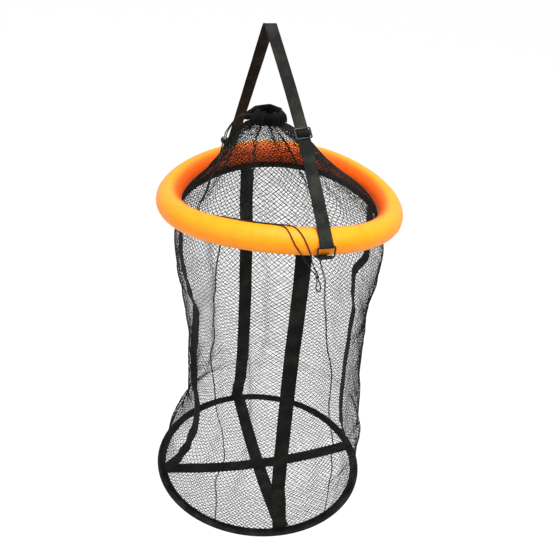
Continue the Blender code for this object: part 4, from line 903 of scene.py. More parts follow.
# %% [markdown]
# ## The cord lock
#
# The lock is a moulded ball. A spring pushes its button up, and the cross bore in the button
# pinches both strands against the ball. A half profile spun about its axis makes the ball
# with the button's well already in it. A box then cuts the slot for the strands.

# %% Turn and cut helpers


def spin_profile(mesh_data, profile, frame_matrix, steps):
    """Turn a (radius, height) profile about the frame's Z axis into a closed skin."""
    line = [mesh_data.verts.new(frame_matrix @ Vector((radius, 0, height))) for radius, height in profile]
    edges = [mesh_data.edges.new(pair) for pair in zip(line, line[1:])]
    bmesh.ops.spin(mesh_data, geom=line + edges, cent=frame_matrix.translation,
                   axis=frame_matrix.col[2].xyz, angle=FULL_TURN, steps=steps, use_merge=True)
    bmesh.ops.remove_doubles(mesh_data, verts=mesh_data.verts, dist=MERGE_DISTANCE)


def cut_box(mesh, frame_matrix, low, high):
    """Cut a box between two corners of the frame out of a mesh; returns the new mesh."""
    cutter_data = bmesh.new()
    bmesh.ops.create_cube(cutter_data, size=1)
    middle, size = (Vector(high) + Vector(low)) / 2, Vector(high) - Vector(low)
    bmesh.ops.transform(cutter_data, verts=cutter_data.verts,
                        matrix=frame_matrix @ Matrix.Translation(middle) @ Matrix.Diagonal((*size, 1)))
    cutter_mesh = bpy.data.meshes.new("cutter")
    cutter_data.to_mesh(cutter_mesh)
    cutter_data.free()
    cutter, target = add_object("cutter", cutter_mesh), add_object("cut_target", mesh)
    step = target.modifiers.new("cut", "BOOLEAN")
    step.object = cutter
    step.operation = "DIFFERENCE"
    result = surface_of(target)
    bpy.data.objects.remove(target)
    bpy.data.objects.remove(cutter)
    return result


def add_cut_piece(name, mesh_data, box_corners, finish, body, replaced):
    """A spun piece with a box cut out of it in the lock's frame."""
    mesh = bpy.data.meshes.new(name)
    bmesh.ops.recalc_face_normals(mesh_data, faces=mesh_data.faces)
    mesh_data.to_mesh(mesh)
    mesh_data.free()
    cut_data = bmesh.new()
    cut_data.from_mesh(cut_box(mesh, LOCK, *box_corners))
    return add_piece(name, cut_data, finish, body, replaced, radians(35))


# %% Make the lock and its button
LOCK_WELL_RADIUS = 0.0046
LOCK_WELL_FLOOR = -0.0052
LOCK_BORE = Vector((2 * LOCK_RADIUS, 0.0034, 0.0016))
LOCK_TRAVEL = 0.0014
LOCK_RIM = 0.0004
BUTTON_RADIUS = 0.0043
BUTTON_FOOT = -0.0024
BUTTON_TOP = 0.0094
BUTTON_ROUND = 0.0012
LOCK_STEPS = 48
LOCK_ARC_STEPS = 24
BUTTON_EDGE_STEPS = 6
SPRING_RADIUS = 0.0030
SPRING_WIRE_RADIUS = 0.0002
SPRING_TURNS = 2
SPRING_POINTS_PER_TURN = 16


def lock_profile():
    """Half section of the ball from its south pole round to the rim and down the well."""
    rim = asin((LOCK_WELL_RADIUS + LOCK_RIM) / LOCK_RADIUS)
    ball = [(LOCK_RADIUS * sin(a), -LOCK_RADIUS * cos(a)) for a in spread(0, pi - rim, LOCK_ARC_STEPS)]
    lip = LOCK_RADIUS * cos(rim)
    well = [(LOCK_WELL_RADIUS, lip - LOCK_RIM), (LOCK_WELL_RADIUS, LOCK_WELL_FLOOR), (0, LOCK_WELL_FLOOR)]
    return ball + well


def button_profile():
    """Half section of the button with a rounded top edge."""
    hub = (BUTTON_RADIUS - BUTTON_ROUND, BUTTON_TOP - BUTTON_ROUND)
    edge = [(hub[0] + BUTTON_ROUND * cos(a), hub[1] + BUTTON_ROUND * sin(a))
            for a in spread(0, pi / 2, BUTTON_EDGE_STEPS)]
    return [(0, BUTTON_FOOT), (BUTTON_RADIUS, BUTTON_FOOT), *edge, (0, BUTTON_TOP)]


def spring_points():
    """The coil from the well's floor to the button's foot, in the lock's frame."""
    seat = LOCK_WELL_FLOOR + CLEARANCE + SPRING_WIRE_RADIUS
    top = BUTTON_FOOT - CLEARANCE - SPRING_WIRE_RADIUS
    steps = SPRING_TURNS * SPRING_POINTS_PER_TURN
    turns, heights = spread(0, FULL_TURN * SPRING_TURNS, steps), spread(seat, top, steps)
    return [LOCK @ Vector((SPRING_RADIUS * cos(turn), SPRING_RADIUS * sin(turn), height))
            for turn, height in zip(turns, heights)]


def wind_spring():
    """The spring as a mesh of its coiled wire, riding on the lock."""
    wire = new_curve("spring_wire", dimensions="3D", bevel_depth=SPRING_WIRE_RADIUS, bevel_resolution=2,
                     use_fill_caps=True)
    add_line(wire, spring_points())
    spring = add_piece("cord_lock_coil_spring", solid_line("spring_wire", wire), STEEL, "lock",
                       ["cord_lock_spring"])
    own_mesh(spring)


lock_data = bmesh.new()
spin_profile(lock_data, lock_profile(), LOCK, LOCK_STEPS)
lock_ball = add_cut_piece("cord_lock_ball", lock_data, (-LOCK_BORE, LOCK_BORE), ACETAL, "lock",
                          ["cord_lock_body"])
button_data = bmesh.new()
spin_profile(button_data, button_profile(), LOCK, LOCK_STEPS)
raised = LOCK_BORE + Vector((0, 0, LOCK_TRAVEL))
lock_button = add_cut_piece("cord_lock_push_button", button_data, (-LOCK_BORE, raised), ACETAL,
                            "lock_button", ["cord_lock_button"])
wind_spring()

list(loop_points[0])

# %% [markdown]
# ## Netting
#
# Netting is two families of twines that slant opposite ways and join where they cross. A
# transparent picture of a net would look flat from the side, so each twine here is a real
# thread. A grid of places is worked out first, one for each knot, and each thread steps one
# column over at each row. One curve holds all the threads, and a small triangle is its bevel,
# which is enough for a thread about 1 mm thick.

# %% Net helpers
TWINE_RADIUS = 0.00056
NET_COLUMNS = 126


def twine_section(radius):
    """A small triangle that gives the threads their thickness."""
    curve = new_curve("twine_section")
    corners = [Vector((cos(turn), sin(turn))) * radius for turn in spread(0, FULL_TURN, 3)[:-1]]
    add_line(curve, corners, True)
    return add_object("twine_section", curve)


def net_piece(name, threads, body, replaced, radius=TWINE_RADIUS):
    """All the threads as one mesh."""
    section = twine_section(radius)
    curve = new_curve(name, dimensions="3D", bevel_mode="OBJECT", bevel_object=section,
                      use_fill_caps=True)
    for thread in threads:
        add_line(curve, thread, False, True)
    mesh_data = solid_line(name + "_threads", curve)
    bpy.data.objects.remove(section)
    print(f"{name}: {len(threads)} threads")
    return add_piece(name, mesh_data, TWINE, body, replaced, pi)


def slanting_threads(knots):
    """Both families of threads over a closed grid of knots, knots[column][row]."""
    columns = len(knots)
    rows = len(knots[0])
    return [[knots[(first + way * row) % columns][row] for row in range(rows)]
            for way in (1, -1) for first in range(columns)]


def wander(spot, size, depth):
    """A smooth random shift that depends on place only."""
    return noise.noise_vector(spot / size) * depth


# %% [markdown]
# ## The net's tube
#
# The tube hangs from the binding, draws in at its waist, leans a little and spreads to the
# hoop. Its radius comes from a short table of shares of the ring's radius. Where it hangs
# slack the meshes slide together into dark upright folds, so each knot is drawn sideways by
# a smooth noise. A small unevenness in every knot keeps it from looking like printed cloth.
# Two seams, each three twines side by side, drift down the front as the photograph shows.

# %% Build the side net
SEAM_SIDE_SHIFT = 0.0012
TAPE_THICKNESS = 0.0008
TAPE_GAP = NET_THICKNESS / 2 + CLEARANCE
NET_FOOT = HOOP_LEVEL + TAPE_GAP + TAPE_THICKNESS + CLEARANCE
NET_LEAN = Vector((0.0245, -0.0060, 0))
NET_RADIUS_SHARES = (
    (0.00, 0.910), (0.08, 0.970), (0.17, 0.945), (0.26, 0.904), (0.35, 0.877),
    (0.46, 0.870), (0.57, 0.868), (0.67, 0.883), (0.75, 0.921), (0.84, 1.010), (1.00, 1.050),
)
NET_LEAN_SHARES = (
    (0.00, 0.00), (0.10, 0.28), (0.26, 0.43), (0.46, 0.82), (0.67, 1.00), (0.78, 0.80),
    (0.86, 0.30), (1.00, 0.00),
)
SIDE_NET_ROWS = 74
NET_FOLD_DEPTH = 0.0055
NET_UNEVENNESS = 0.0014
NET_FOLD_PULL = 0.11
NET_SEAMS = (
    ((0.00, -84), (0.12, -82), (0.50, -72), (0.75, -67), (1.00, -64)),
    ((0.00, -137), (0.12, -139), (0.30, -145), (0.42, -152), (0.58, -148), (0.78, -134), (1.00, -128)),
)
NET_SEAM_TURN = 0.0050
NET_PULL_WAVES = 3.3
NET_PULL_SLANT = 0.9
NET_FOLDS = 6
NET_FOLD_WAVES = 3.1
NET_FOLD_SLANT = 1.4
NET_SWAY = 0.006
NET_SWAY_SIZE = 0.08
NET_UNEVEN_SIZE = 0.004
NET_EDGE_RISE = 8


def side_net_point(azimuth, share):
    """A place on the net's tube by azimuth and share of its drop."""
    free = sin(pi * share)
    pull = NET_FOLD_PULL * min(1, 2 * free)
    azimuth += pull * round_noise(azimuth, NET_PULL_WAVES, (0, 0, share * NET_PULL_SLANT))
    top = seam_point(azimuth, SEAM_BOTTOM + CLEARANCE, SEAM_SIDE_SHIFT)
    if not share:
        return top
    waver = round_noise(azimuth, NET_FOLD_WAVES, (0, 0, share * NET_FOLD_SLANT))
    folds = cos(NET_FOLDS * azimuth) / 2 + waver
    radius = RING_RADIUS * along(NET_RADIUS_SHARES, share) + NET_FOLD_DEPTH * free * folds
    spot = at_ring(azimuth, radius, top.z + (NET_FOOT - top.z) * share)
    lean = NET_LEAN * along(NET_LEAN_SHARES, share)
    sway = wander(spot, NET_SWAY_SIZE, NET_SWAY * free)
    unevenness = wander(spot, NET_UNEVEN_SIZE, NET_UNEVENNESS * min(1, NET_EDGE_RISE * free))
    return spot + lean + (sway + unevenness)


def net_seam(line, side):
    """One of the three twines that sew two edges of the netting together, down the tube."""
    shares = spread(0, 1, SIDE_NET_ROWS)
    return [side_net_point(radians(along(line, share)) + side * NET_SEAM_TURN, share) for share in shares]


side_knots = [[side_net_point(FULL_TURN * column / NET_COLUMNS, row / SIDE_NET_ROWS)
               for row in range(SIDE_NET_ROWS + 1)] for column in range(NET_COLUMNS)]
seams = [net_seam(line, side) for line in NET_SEAMS for side in (-1, 0, 1)]
side_net = net_piece("side_netting", slanting_threads(side_knots) + seams, "ring", ["side_net"])

# %% [markdown]
# ## The collar
#
# The collar is the same netting, drawn from the ring's full round down to a neck as thick as
# a wrist. The number of threads stays the same, so they crowd together towards the neck and
# make the top dark. Between the neck and the ring they also crowd into long folds, one below
# each pleat of the closure, and those folds deepen with height.

# %% Build the collar net
COLLAR_COLUMNS = 104
COLLAR_ROWS = 26
COLLAR_TWINE_RADIUS = 0.00068
COLLAR_GATHER = 0.0060
COLLAR_FOLD_PULL = 0.100
COLLAR_CRUMPLE = 0.0046
COLLAR_CRUMPLE_SIZE = 0.0085
COLLAR_STEP = 0.003
COLLAR_PATCH_WAVES = 1.8
COLLAR_PATCH_LEVEL = 0.65
COLLAR_PATCH_DEPTH = 0.6
PLEAT_WANDER = 0.35
PLEAT_WANDER_WAVES = 1.7
FOLD_FOOT_SHARE = 0.25
FOLD_RISE = 1.4
GATHER_WAVES = 4
GATHER_SLANT = 2
GATHER_SINK = 0.4
GATHER_FOOT_SHARE = 0.35
CRUMPLE_FOOT_RISE = 5
CRUMPLE_NECK_FADE_SHARE = 0.06


def fold_azimuth(azimuth, height_share):
    """Where a knot goes as the collar's threads crowd into its long folds."""
    patchy = COLLAR_PATCH_LEVEL + COLLAR_PATCH_DEPTH * round_noise(azimuth, COLLAR_PATCH_WAVES, (0, 3, 0))
    pull = COLLAR_FOLD_PULL * min(1, patchy) * min(1, FOLD_FOOT_SHARE + FOLD_RISE * height_share)
    wavering = PLEAT_WANDER * round_noise(azimuth, PLEAT_WANDER_WAVES)
    return azimuth - pull * sin(COLLAR_PLEATS * (azimuth + wavering))


def even_spots(line, count):
    """Count + 1 spots along a run of points, the same length apart."""
    whole = path_length(line)
    spots, run, target = [], 0, 0
    for near, far in zip(line, line[1:]):
        step = (far - near).length
        while target <= run + step + MERGE_DISTANCE and len(spots) <= count:
            spots.append(near.lerp(far, min(1, (target - run) / step)))
            target = whole * len(spots) / count
        run += step
    return spots


def collar_knots(azimuth):
    """Places up the collar at one azimuth, evenly spaced along its section."""
    line = smooth_route([Vector(spot) for spot in collar_line(azimuth)], COLLAR_STEP)
    knots = []
    for radius, level in even_spots(line, COLLAR_ROWS):
        height_share = max(0, level / HEM_TOP)
        swell = sin(pi * min(1, height_share / COLLAR_NECK_SHARE))
        pleat = COLLAR_PLEAT_DEPTH * swell * height_share * (1 + cos(COLLAR_PLEATS * azimuth)) / 2
        depth = round_noise(azimuth, GATHER_WAVES, (0, 0, height_share * GATHER_SLANT)) - GATHER_SINK
        gather = COLLAR_GATHER * swell * (GATHER_FOOT_SHARE + height_share) * depth
        free = max(0, min(1, CRUMPLE_FOOT_RISE * height_share,
                          (COLLAR_NECK_SHARE - height_share) / CRUMPLE_NECK_FADE_SHARE))
        pushed = wander(at_ring(azimuth, radius, level), COLLAR_CRUMPLE_SIZE, COLLAR_CRUMPLE * free)
        turned = fold_azimuth(azimuth, height_share) + pushed.x / radius
        knots.append(collar_point(turned, radius + pleat + gather, level + pushed.y / 2))
    return knots


collar_grid = [collar_knots(FULL_TURN * column / COLLAR_COLUMNS) for column in range(COLLAR_COLUMNS)]
collar_net = net_piece("collar_netting", slanting_threads(collar_grid), "ring", ["collar_net"],
                       COLLAR_TWINE_RADIUS)

# %% [markdown]
# ## The floor
#
# The floor is a round piece of the same netting, cut on the square, and it sags under its
# own weight. Straight lines at a right angle are laid across the disc and let down onto the
# sagging surface.

# %% Build the floor net
HOOP_BAND_WIDTH = 0.021
HOOP_OUTER_RADIUS = 0.2595
TAPE_INNER_RADIUS = HOOP_OUTER_RADIUS - HOOP_BAND_WIDTH
FLOOR_SAG = 0.024
FLOOR_PITCH = 0.0074
FLOOR_STEP = 0.014
FLOOR_FLAT_EDGE = 0.004
FLOOR_TUCK = 0.003
FLOOR_GRID_SHIFT_SHARE = 0.3
FLOOR_WANDER = 0.0012
FLOOR_WANDER_SIZE = 0.03
FLOOR_RIPPLE = 0.0006
FLOOR_RIPPLE_SIZE = 0.02


def floor_drop(distance):
    """How far the floor hangs below the hoop's plane at a distance from its centre."""
    return FLOOR_SAG * max(0, 1 - (distance / (TAPE_INNER_RADIUS - FLOOR_FLAT_EDGE)) ** 2)


def floor_threads():
    """Two families of straight threads across the disc."""
    edge = TAPE_INNER_RADIUS + FLOOR_TUCK
    lines = int(edge / FLOOR_PITCH)
    threads = []
    for slant in (pi / 4, -pi / 4):
        for k in range(-lines, lines + 1):
            off = FLOOR_PITCH * (k + FLOOR_GRID_SHIFT_SHARE)
            if abs(off) > edge - FLOOR_PITCH / 2:
                continue
            half = sqrt(edge**2 - off**2)
            thread = []
            for reach in spread(-half, half, max(2, round(2 * half / FLOOR_STEP))):
                flat = outward(slant) * off + sideways(slant) * reach
                flat += wander(flat, FLOOR_WANDER_SIZE, FLOOR_WANDER)
                ripple = FLOOR_RIPPLE * noise.noise(flat / FLOOR_RIPPLE_SIZE)
                level = HOOP_LEVEL - floor_drop(flat.length) + ripple
                thread.append(Vector((RING_MIDDLE.x + flat.x, RING_MIDDLE.y + flat.y, level)))
            threads.append(thread)
    return threads


floor_net = net_piece("floor_netting", floor_threads(), "base", ["floor_net"])

# %% [markdown]
# ## Webbing
#
# Every strap is the same thing: a flat band with rounded edges, carried along its centre line
# with its own width direction at each station. Webbing is never dead flat, so each station is
# moved off by a smooth noise that depends on place alone. Two pieces that share a station
# therefore still meet exactly.

# %% Webbing helpers
WEB_EDGE_STEPS = 4
WEB_FLAT_STEPS = 6
WEB_WAVE = 0.0006
WEB_WAVE_SIZE = 0.06
MITRE_SHARE = 0.5


def web_outline(width):
    """The band's section as (across, off) points with round edges."""
    half, round_edge = width / 2 - WEB_THICKNESS / 2, WEB_THICKNESS / 2
    right = [(half + round_edge * cos(a), round_edge * sin(a))
             for a in spread(-pi / 2, pi / 2, WEB_EDGE_STEPS)]
    top = [(x, round_edge) for x in spread(half, -half, WEB_FLAT_STEPS)[1:-1]]
    left = [(-x, -y) for x, y in right]
    bottom = [(-x, -y) for x, y in top]
    return right + top + left + bottom


def web_frames(stations, wave):
    """Place, width direction, way off the face and mitre stretch at each station."""
    frames = []
    centres = [centre for centre, _ in stations]
    for i, (centre, width_way) in enumerate(stations):
        into = (centre - centres[i - 1]).normalized() if i else (centres[1] - centre).normalized()
        out = (centres[i + 1] - centre).normalized() if i < len(stations) - 1 else into
        run = (into + out).normalized()
        across = (width_way - run * width_way.dot(run)).normalized()
        off = across.cross(run)
        shift = off * noise.noise(centre / WEB_WAVE_SIZE) * wave
        frames.append((centre + shift, across, off, 1 / max(run.dot(into), MITRE_SHARE)))
    return frames


def add_webbing(mesh_data, stations, width, wave=WEB_WAVE):
    """Add one closed band of webbing through (centre, width direction) stations."""
    outline = web_outline(width)
    frames = web_frames(stations, wave)
    count, last = len(outline), len(frames) - 1

    def place(u, v):
        centre, across, off, stretch = frames[round(u * last)]
        x, y = outline[round(v * count) % count]
        return centre + across * x + off * y * stretch

    length = path_length([centre for centre, _ in stations])
    wrap_cloth(mesh_data, last, count, place, (length, 2 * width))
    open_edges = [edge for edge in mesh_data.edges if edge.is_boundary]
    bmesh.ops.holes_fill(mesh_data, edges=open_edges)


def webbing_piece(name, plies, width, body, replaced, wave=WEB_WAVE):
    """A piece of one or more plies of webbing."""
    mesh_data = bmesh.new()
    for stations in plies:
        add_webbing(mesh_data, stations, width, wave)
    return add_piece(name, mesh_data, WEBBING, body, replaced)


# %% [markdown]
# ## The body straps
#
# Four straps hang inside the net from the binding to the hoop. The photograph shows them
# bent and turned where the net pulls them, so each has its own table of radii down its
# length.

# %% Build the body straps
BODY_WEB_WIDTH = 0.033
STRAP_AZIMUTHS = {
    "front": radians(-92), "right": radians(1.7), "back": radians(92), "left": radians(181.7),
}
STRAP_RADIUS_SHARES = {
    "front": ((0.00, 0.901), (0.08, 0.911), (0.21, 0.890), (0.35, 0.858), (0.51, 0.845),
              (0.67, 0.845), (0.78, 0.847), (0.87, 0.860), (0.93, 0.960), (1.00, 1.034)),
    "left": ((0.00, 0.901), (0.10, 0.900), (0.18, 0.868), (0.26, 0.809), (0.32, 0.750),
             (0.40, 0.745), (0.50, 0.757), (0.60, 0.748), (0.72, 0.711), (0.81, 0.723),
             (0.88, 0.785), (0.94, 0.880), (1.00, 1.034)),
    "right": ((0.00, 0.901), (0.09, 0.930), (0.17, 0.938), (0.23, 0.830), (0.31, 0.847),
              (0.38, 0.885), (0.51, 0.877), (0.65, 0.881), (0.78, 0.898), (0.88, 0.932),
              (0.94, 0.985), (1.00, 1.034)),
    "back": ((0.00, 0.901), (0.10, 0.900), (0.30, 0.845), (0.50, 0.815), (0.70, 0.815),
             (0.85, 0.870), (0.93, 0.965), (1.00, 1.034)),
}
STRAP_DRIFTS = {"front": 0, "right": 0, "back": radians(4.5), "left": 0}
STRAP_TWISTS = {"front": 0, "right": radians(-10), "back": 0, "left": radians(16)}
BODY_STRAP_STEPS = 72
BODY_STRAP_WAVE = 0.0025


def body_strap_stations(side):
    """Centres and width directions down one strap."""
    foot_azimuth = STRAP_AZIMUTHS[side]
    azimuth = foot_azimuth + STRAP_DRIFTS[side]
    top = seam_point(azimuth, SEAM_BOTTOM + CLEARANCE, -SEAM_SIDE_SHIFT)
    stations = [(top, sideways(azimuth))]
    for share in spread(0, 1, BODY_STRAP_STEPS)[1:]:
        azimuth = foot_azimuth + STRAP_DRIFTS[side] * (1 - share)
        radius = RING_RADIUS * along(STRAP_RADIUS_SHARES[side], share)
        across = sideways(azimuth + STRAP_TWISTS[side] * sin(pi * share))
        stations.append((at_ring(azimuth, radius, top.z + (NET_FOOT - top.z) * share), across))
    return stations


def folds_with_net(piece):
    """Give the piece a mesh of its own."""
    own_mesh(piece)


for side in STRAP_AZIMUTHS:
    strap = webbing_piece(f"inner_strap_{side}", [body_strap_stations(side)], BODY_WEB_WIDTH, "ring",
                          [f"body_strap_{side}"], BODY_STRAP_WAVE)
    folds_with_net(strap)
folds_with_net(side_net)

# %% [markdown]
# ## The hoop's tape and the floor straps
#
# The tape is folded round the wire and sewn flat inside it, with the nets' edges between its
# plies. Its inner edge waves a little because the net pulls at it. Two straps cross under the
# load of the floor, and the second rides over the first.

# %% Build the hoop's tape
HOOP_WIRE_RADIUS = 0.0022
FERRULE_WALL = 0.0007
WIRE_SPACE_RADIUS = HOOP_WIRE_RADIUS + 2 * CLEARANCE + FERRULE_WALL
TAPE_OPEN_ANGLE = radians(144)
TAPE_REACH = WIRE_SPACE_RADIUS + TAPE_THICKNESS / 2 + CLEARANCE
WIRE_RING_RADIUS = HOOP_OUTER_RADIUS - TAPE_THICKNESS / 2 - TAPE_REACH
STITCH_RADIUS = WIRE_RING_RADIUS - 2 * TAPE_REACH
TAPE_TURN_STEPS = 16
TAPE_COLUMNS = 360
TAPE_WAVERS = ((6, 0.0010), (25, 0.0005))


def tape_outline():
    """The folded tape's section as (radius, level) points, outer skin then inner skin."""
    skins = []
    for reach, ply in ((TAPE_REACH + TAPE_THICKNESS / 2, TAPE_GAP + TAPE_THICKNESS),
                       (TAPE_REACH - TAPE_THICKNESS / 2, TAPE_GAP)):
        turn = [(WIRE_RING_RADIUS + reach * cos(a), reach * sin(a))
                for a in spread(TAPE_OPEN_ANGLE, -TAPE_OPEN_ANGLE, TAPE_TURN_STEPS)]
        skins.append([(TAPE_INNER_RADIUS, ply), (STITCH_RADIUS, ply), *turn, (STITCH_RADIUS, -ply),
                      (TAPE_INNER_RADIUS, -ply)])
    return skins[0] + skins[1][::-1]


def tape_place(azimuth, spot):
    """A point of the tape; its inner edge wavers where the net pulls."""
    radius, level = spot
    inner_share = max(0, (WIRE_RING_RADIUS - radius) / HOOP_BAND_WIDTH)
    waver = sum(round_noise(azimuth, rate) * depth for rate, depth in TAPE_WAVERS)
    return at_ring(azimuth, radius + waver * inner_share, HOOP_LEVEL + level + waver * inner_share)


closed_band("hoop_binding_tape", tape_outline(), TAPE_COLUMNS, WEBBING, "base",
            tape_place, ["hoop_tape"], FULL_TURN * HOOP_OUTER_RADIUS, 2 * HOOP_BAND_WIDTH)

# %% Build the floor straps
CROSSING_RAMP = 0.012
FLOOR_STRAP_STEPS = 60


def floor_strap_stations(azimuth, over):
    """Centres and width directions across the floor; over lifts the strap where the two cross."""
    reach = TAPE_INNER_RADIUS - 2 * CLEARANCE
    half = sqrt(reach**2 - (BODY_WEB_WIDTH / 2) ** 2)
    base = NET_THICKNESS / 2 + 2 * CLEARANCE + WEB_THICKNESS / 2
    stations = []
    for distance in spread(-half, half, FLOOR_STRAP_STEPS):
        ramp = max(0, min(1, (BODY_WEB_WIDTH / 2 + CROSSING_RAMP - abs(distance)) / CROSSING_RAMP))
        lift = over * (WEB_THICKNESS + CLEARANCE) * ramp * ramp * (3 - 2 * ramp)
        level = HOOP_LEVEL + base + lift - floor_drop(abs(distance))
        stations.append((at_ring(azimuth, distance, level), sideways(azimuth)))
    return stations


for name, azimuth, over in (("front_back", radians(90), 0), ("left_right", 0, 1)):
    webbing_piece(f"floor_webbing_{name}", [floor_strap_stations(azimuth, over)], BODY_WEB_WIDTH, "base",
                  [f"floor_strap_{name}"], 0)

# %% [markdown]
# ## Where the loops sit
#
# Each moulded loop hangs in a short tab on the ring, and a leg of the carry strap turns round
# its upper bar. All of that lies in one upright plane through the ring's axis, so it is drawn
# there in two dimensions: circles for the bars and the tube, and straight tangents between.

# %% Plane geometry of the loops
LOOP_WIDTH = 0.038
LOOP_HEIGHT = 0.026
LOOP_BAR_RADIUS = 0.0018
LOOP_CORNER_RADIUS = 0.0040
LOOP_LIFT = -0.0070
LOOP_STAND_OFF = 0.0058
STRAP_FOLD_RADIUS = 0.0060
PLY_STEP = WEB_THICKNESS + CLEARANCE


def arc(centre, radius, start, end, steps):
    """Points on an arc about a centre in a plane."""
    return [centre + Vector((cos(a), sin(a))) * radius for a in spread(start, end, steps)]


def tangent(first, first_radius, second, second_radius, turn):
    """Touch points of a line that both circles meet; radii are signed by the side they lie on."""
    apart = second - first
    ahead = apart.normalized()
    lean = (first_radius - second_radius) / apart.length
    normal = ahead * lean + Vector((-ahead.y, ahead.x)) * turn * sqrt(1 - lean * lean)
    return first + normal * first_radius, second + normal * second_radius


def angle_about(centre, point):
    """The angle of point seen from centre."""
    return atan2(point.y - centre.y, point.x - centre.x)


class LoopSeat:
    """One loop on the ring: its upright plane, its bars and the strap's leg above it."""

    def __init__(self, azimuth, foot_side):
        self.azimuth = azimuth
        self.across = sideways(azimuth)
        self.tube = Vector((RING_RADIUS, ring_height(azimuth)))
        bar = RING_RADIUS + TUBE_RADIUS + LOOP_STAND_OFF
        reach = LOOP_HEIGHT / 2 - LOOP_BAR_RADIUS
        self.upper_bar = Vector((bar, self.tube.y + LOOP_LIFT + reach))
        self.lower_bar = Vector((bar, self.tube.y + LOOP_LIFT - reach))
        self.turn_radius = LOOP_BAR_RADIUS + CLEARANCE + WEB_THICKNESS / 2
        fold = -Vector((RING_MIDDLE.x, RING_MIDDLE.y, 0))
        self.fold_side = fold.dot(self.across)
        self.fold = Vector((fold.dot(outward(azimuth)), -STRAP_FOLD_RADIUS))
        fold_reach = STRAP_FOLD_RADIUS + WEB_THICKNESS / 2
        self.fold_touch, self.bar_touch = tangent(self.fold, fold_reach,
                                                  self.upper_bar, self.turn_radius, 1)
        self.length = (self.bar_touch - self.fold_touch).length
        self.down = (self.bar_touch - self.fold_touch).normalized()
        self.off = Vector((-self.down.y, self.down.x))
        behind = self.bar_touch - self.off * PLY_STEP
        self.tube_side = behind + self.down * (self.tube - behind).dot(self.down)
        self.inner_touch = tangent(self.tube_side, 0, self.upper_bar, self.turn_radius, -1)[1]
        self.tube_distance = (self.tube_side - self.fold_touch).dot(self.down)
        self.inner_length = (self.inner_touch - self.fold_touch).dot(self.down)
        self.foot_across = self.across * foot_side

    def place(self, spot, side=0):
        """A spot of the plane in space, moved along the ring by side."""
        return at_ring(self.azimuth, spot.x, spot.y) + self.across * side

    def web_spot(self, distance, behind=0, bow=0):
        """A point on the leg below the fold; behind is 1 on the ply at its back."""
        share = distance / self.length
        side = self.fold_side * (1 - share) + bow * sin(pi * min(1, max(0, share)))
        spot = self.fold_touch + self.down * distance - self.off * PLY_STEP * behind
        past = (distance - self.tube_distance) / (self.inner_length - self.tube_distance)
        if behind and past > 0:
            spot = self.tube_side.lerp(self.inner_touch, past)
        return self.place(spot, side)

    def turn(self, steps):
        """The strap's turn under the upper bar, from its outer ply to behind the leg."""
        start, end = [angle_about(self.upper_bar, touch) for touch in (self.bar_touch, self.inner_touch)]
        return arc(self.upper_bar, self.turn_radius, start, end, steps)


FRONT = LoopSeat(radians(-86.5), 1)
BACK = LoopSeat(radians(102), -1)

# %% [markdown]
# ## The carry strap
#
# The strap is one long band, but the ring swings on it, the tri-glide slides along it and the
# loops turn in their tabs. A stiff piece would tear away at each of those places. So the band
# is cut into stretches that share their end stations, and a stretch that crosses a joint
# rides on no body.

# %% Lines of the carry strap
CARRY_WIDTH = 0.026
LEG_BOW = 0.008
LEG_SPACING = 0.009
TRIGLIDE_WIDTH = 0.034
TRIGLIDE_HEIGHT = 0.022
TRIGLIDE_THICKNESS = 0.0026
TRIGLIDE_BAR = 0.0026
TRIGLIDE_OFFSET = 0.0025
TRIGLIDE_LEAD = 0.003
TRIGLIDE_APPROACH = TRIGLIDE_HEIGHT / 2 + TRIGLIDE_LEAD
TRIGLIDE_DISTANCE = FRONT.length / 2
TAIL_LENGTH = 0.040
FOLD_STEPS = 20


def fold_stations():
    """The top fold, from the front leg's touch point to the back leg's."""
    heading = FRONT.place(FRONT.upper_bar) - BACK.place(BACK.upper_bar)
    heading.z = 0
    heading.normalize()
    hub = Vector((0, 0, -STRAP_FOLD_RADIUS))
    reach = STRAP_FOLD_RADIUS + WEB_THICKNESS / 2
    start = angle_about(FRONT.fold, FRONT.fold_touch)
    end = pi - angle_about(BACK.fold, BACK.fold_touch)
    across = Vector((-heading.y, heading.x, 0))
    return [(hub + (heading * cos(a) + Vector((0, 0, sin(a)))) * reach, across)
            for a in spread(start, end, FOLD_STEPS)]


FOLD = fold_stations()
FOLD_ACROSS = FOLD[0][1]


def leg_stations(seat, start, end, behind=0, bow=0):
    """Stations down a leg between two distances below the fold."""
    distances = spread(start, end, max(2, round(abs(end - start) / LEG_SPACING)))
    return [(seat.web_spot(distance, behind, bow),
             FOLD_ACROSS.lerp(seat.foot_across, distance / seat.length)) for distance in distances]


def triglide_frame():
    """The tri-glide's frame: X across the webbing, Y up the leg and Z off its face."""
    centre = FRONT.web_spot(TRIGLIDE_DISTANCE, 0, LEG_BOW)
    down = (FRONT.web_spot(TRIGLIDE_DISTANCE + TRIGLIDE_LEAD, 0, LEG_BOW) - centre).normalized()
    across = FOLD_ACROSS.lerp(FRONT.across, 1 / 2)
    across = (across - down * across.dot(down)).normalized()
    normal = across.cross(-down)
    return axes_frame(centre + normal * TRIGLIDE_OFFSET, across, normal)


TRIGLIDE = triglide_frame()
WEAVE_HUB = Vector((0, TRIGLIDE_OFFSET))
EYE_RADIUS = hypot(TRIGLIDE_BAR, TRIGLIDE_THICKNESS) / 2 + CLEARANCE + WEB_THICKNESS / 2
KNEE_ROOM = 0.0004
KNEE = TRIGLIDE_HEIGHT / 2 - TRIGLIDE_BAR - KNEE_ROOM
TAIL_SPOT = WEAVE_HUB + Vector((0.0050, -0.0018))
HUMP_STEPS = 12
EYE_STEPS = 16


def in_triglide(spots):
    """Stations from (along the leg, off the face) spots at the tri-glide."""
    return [(TRIGLIDE @ Vector((0, -spot.x, spot.y - TRIGLIDE_OFFSET)), TRIGLIDE.col[0].xyz)
            for spot in spots]


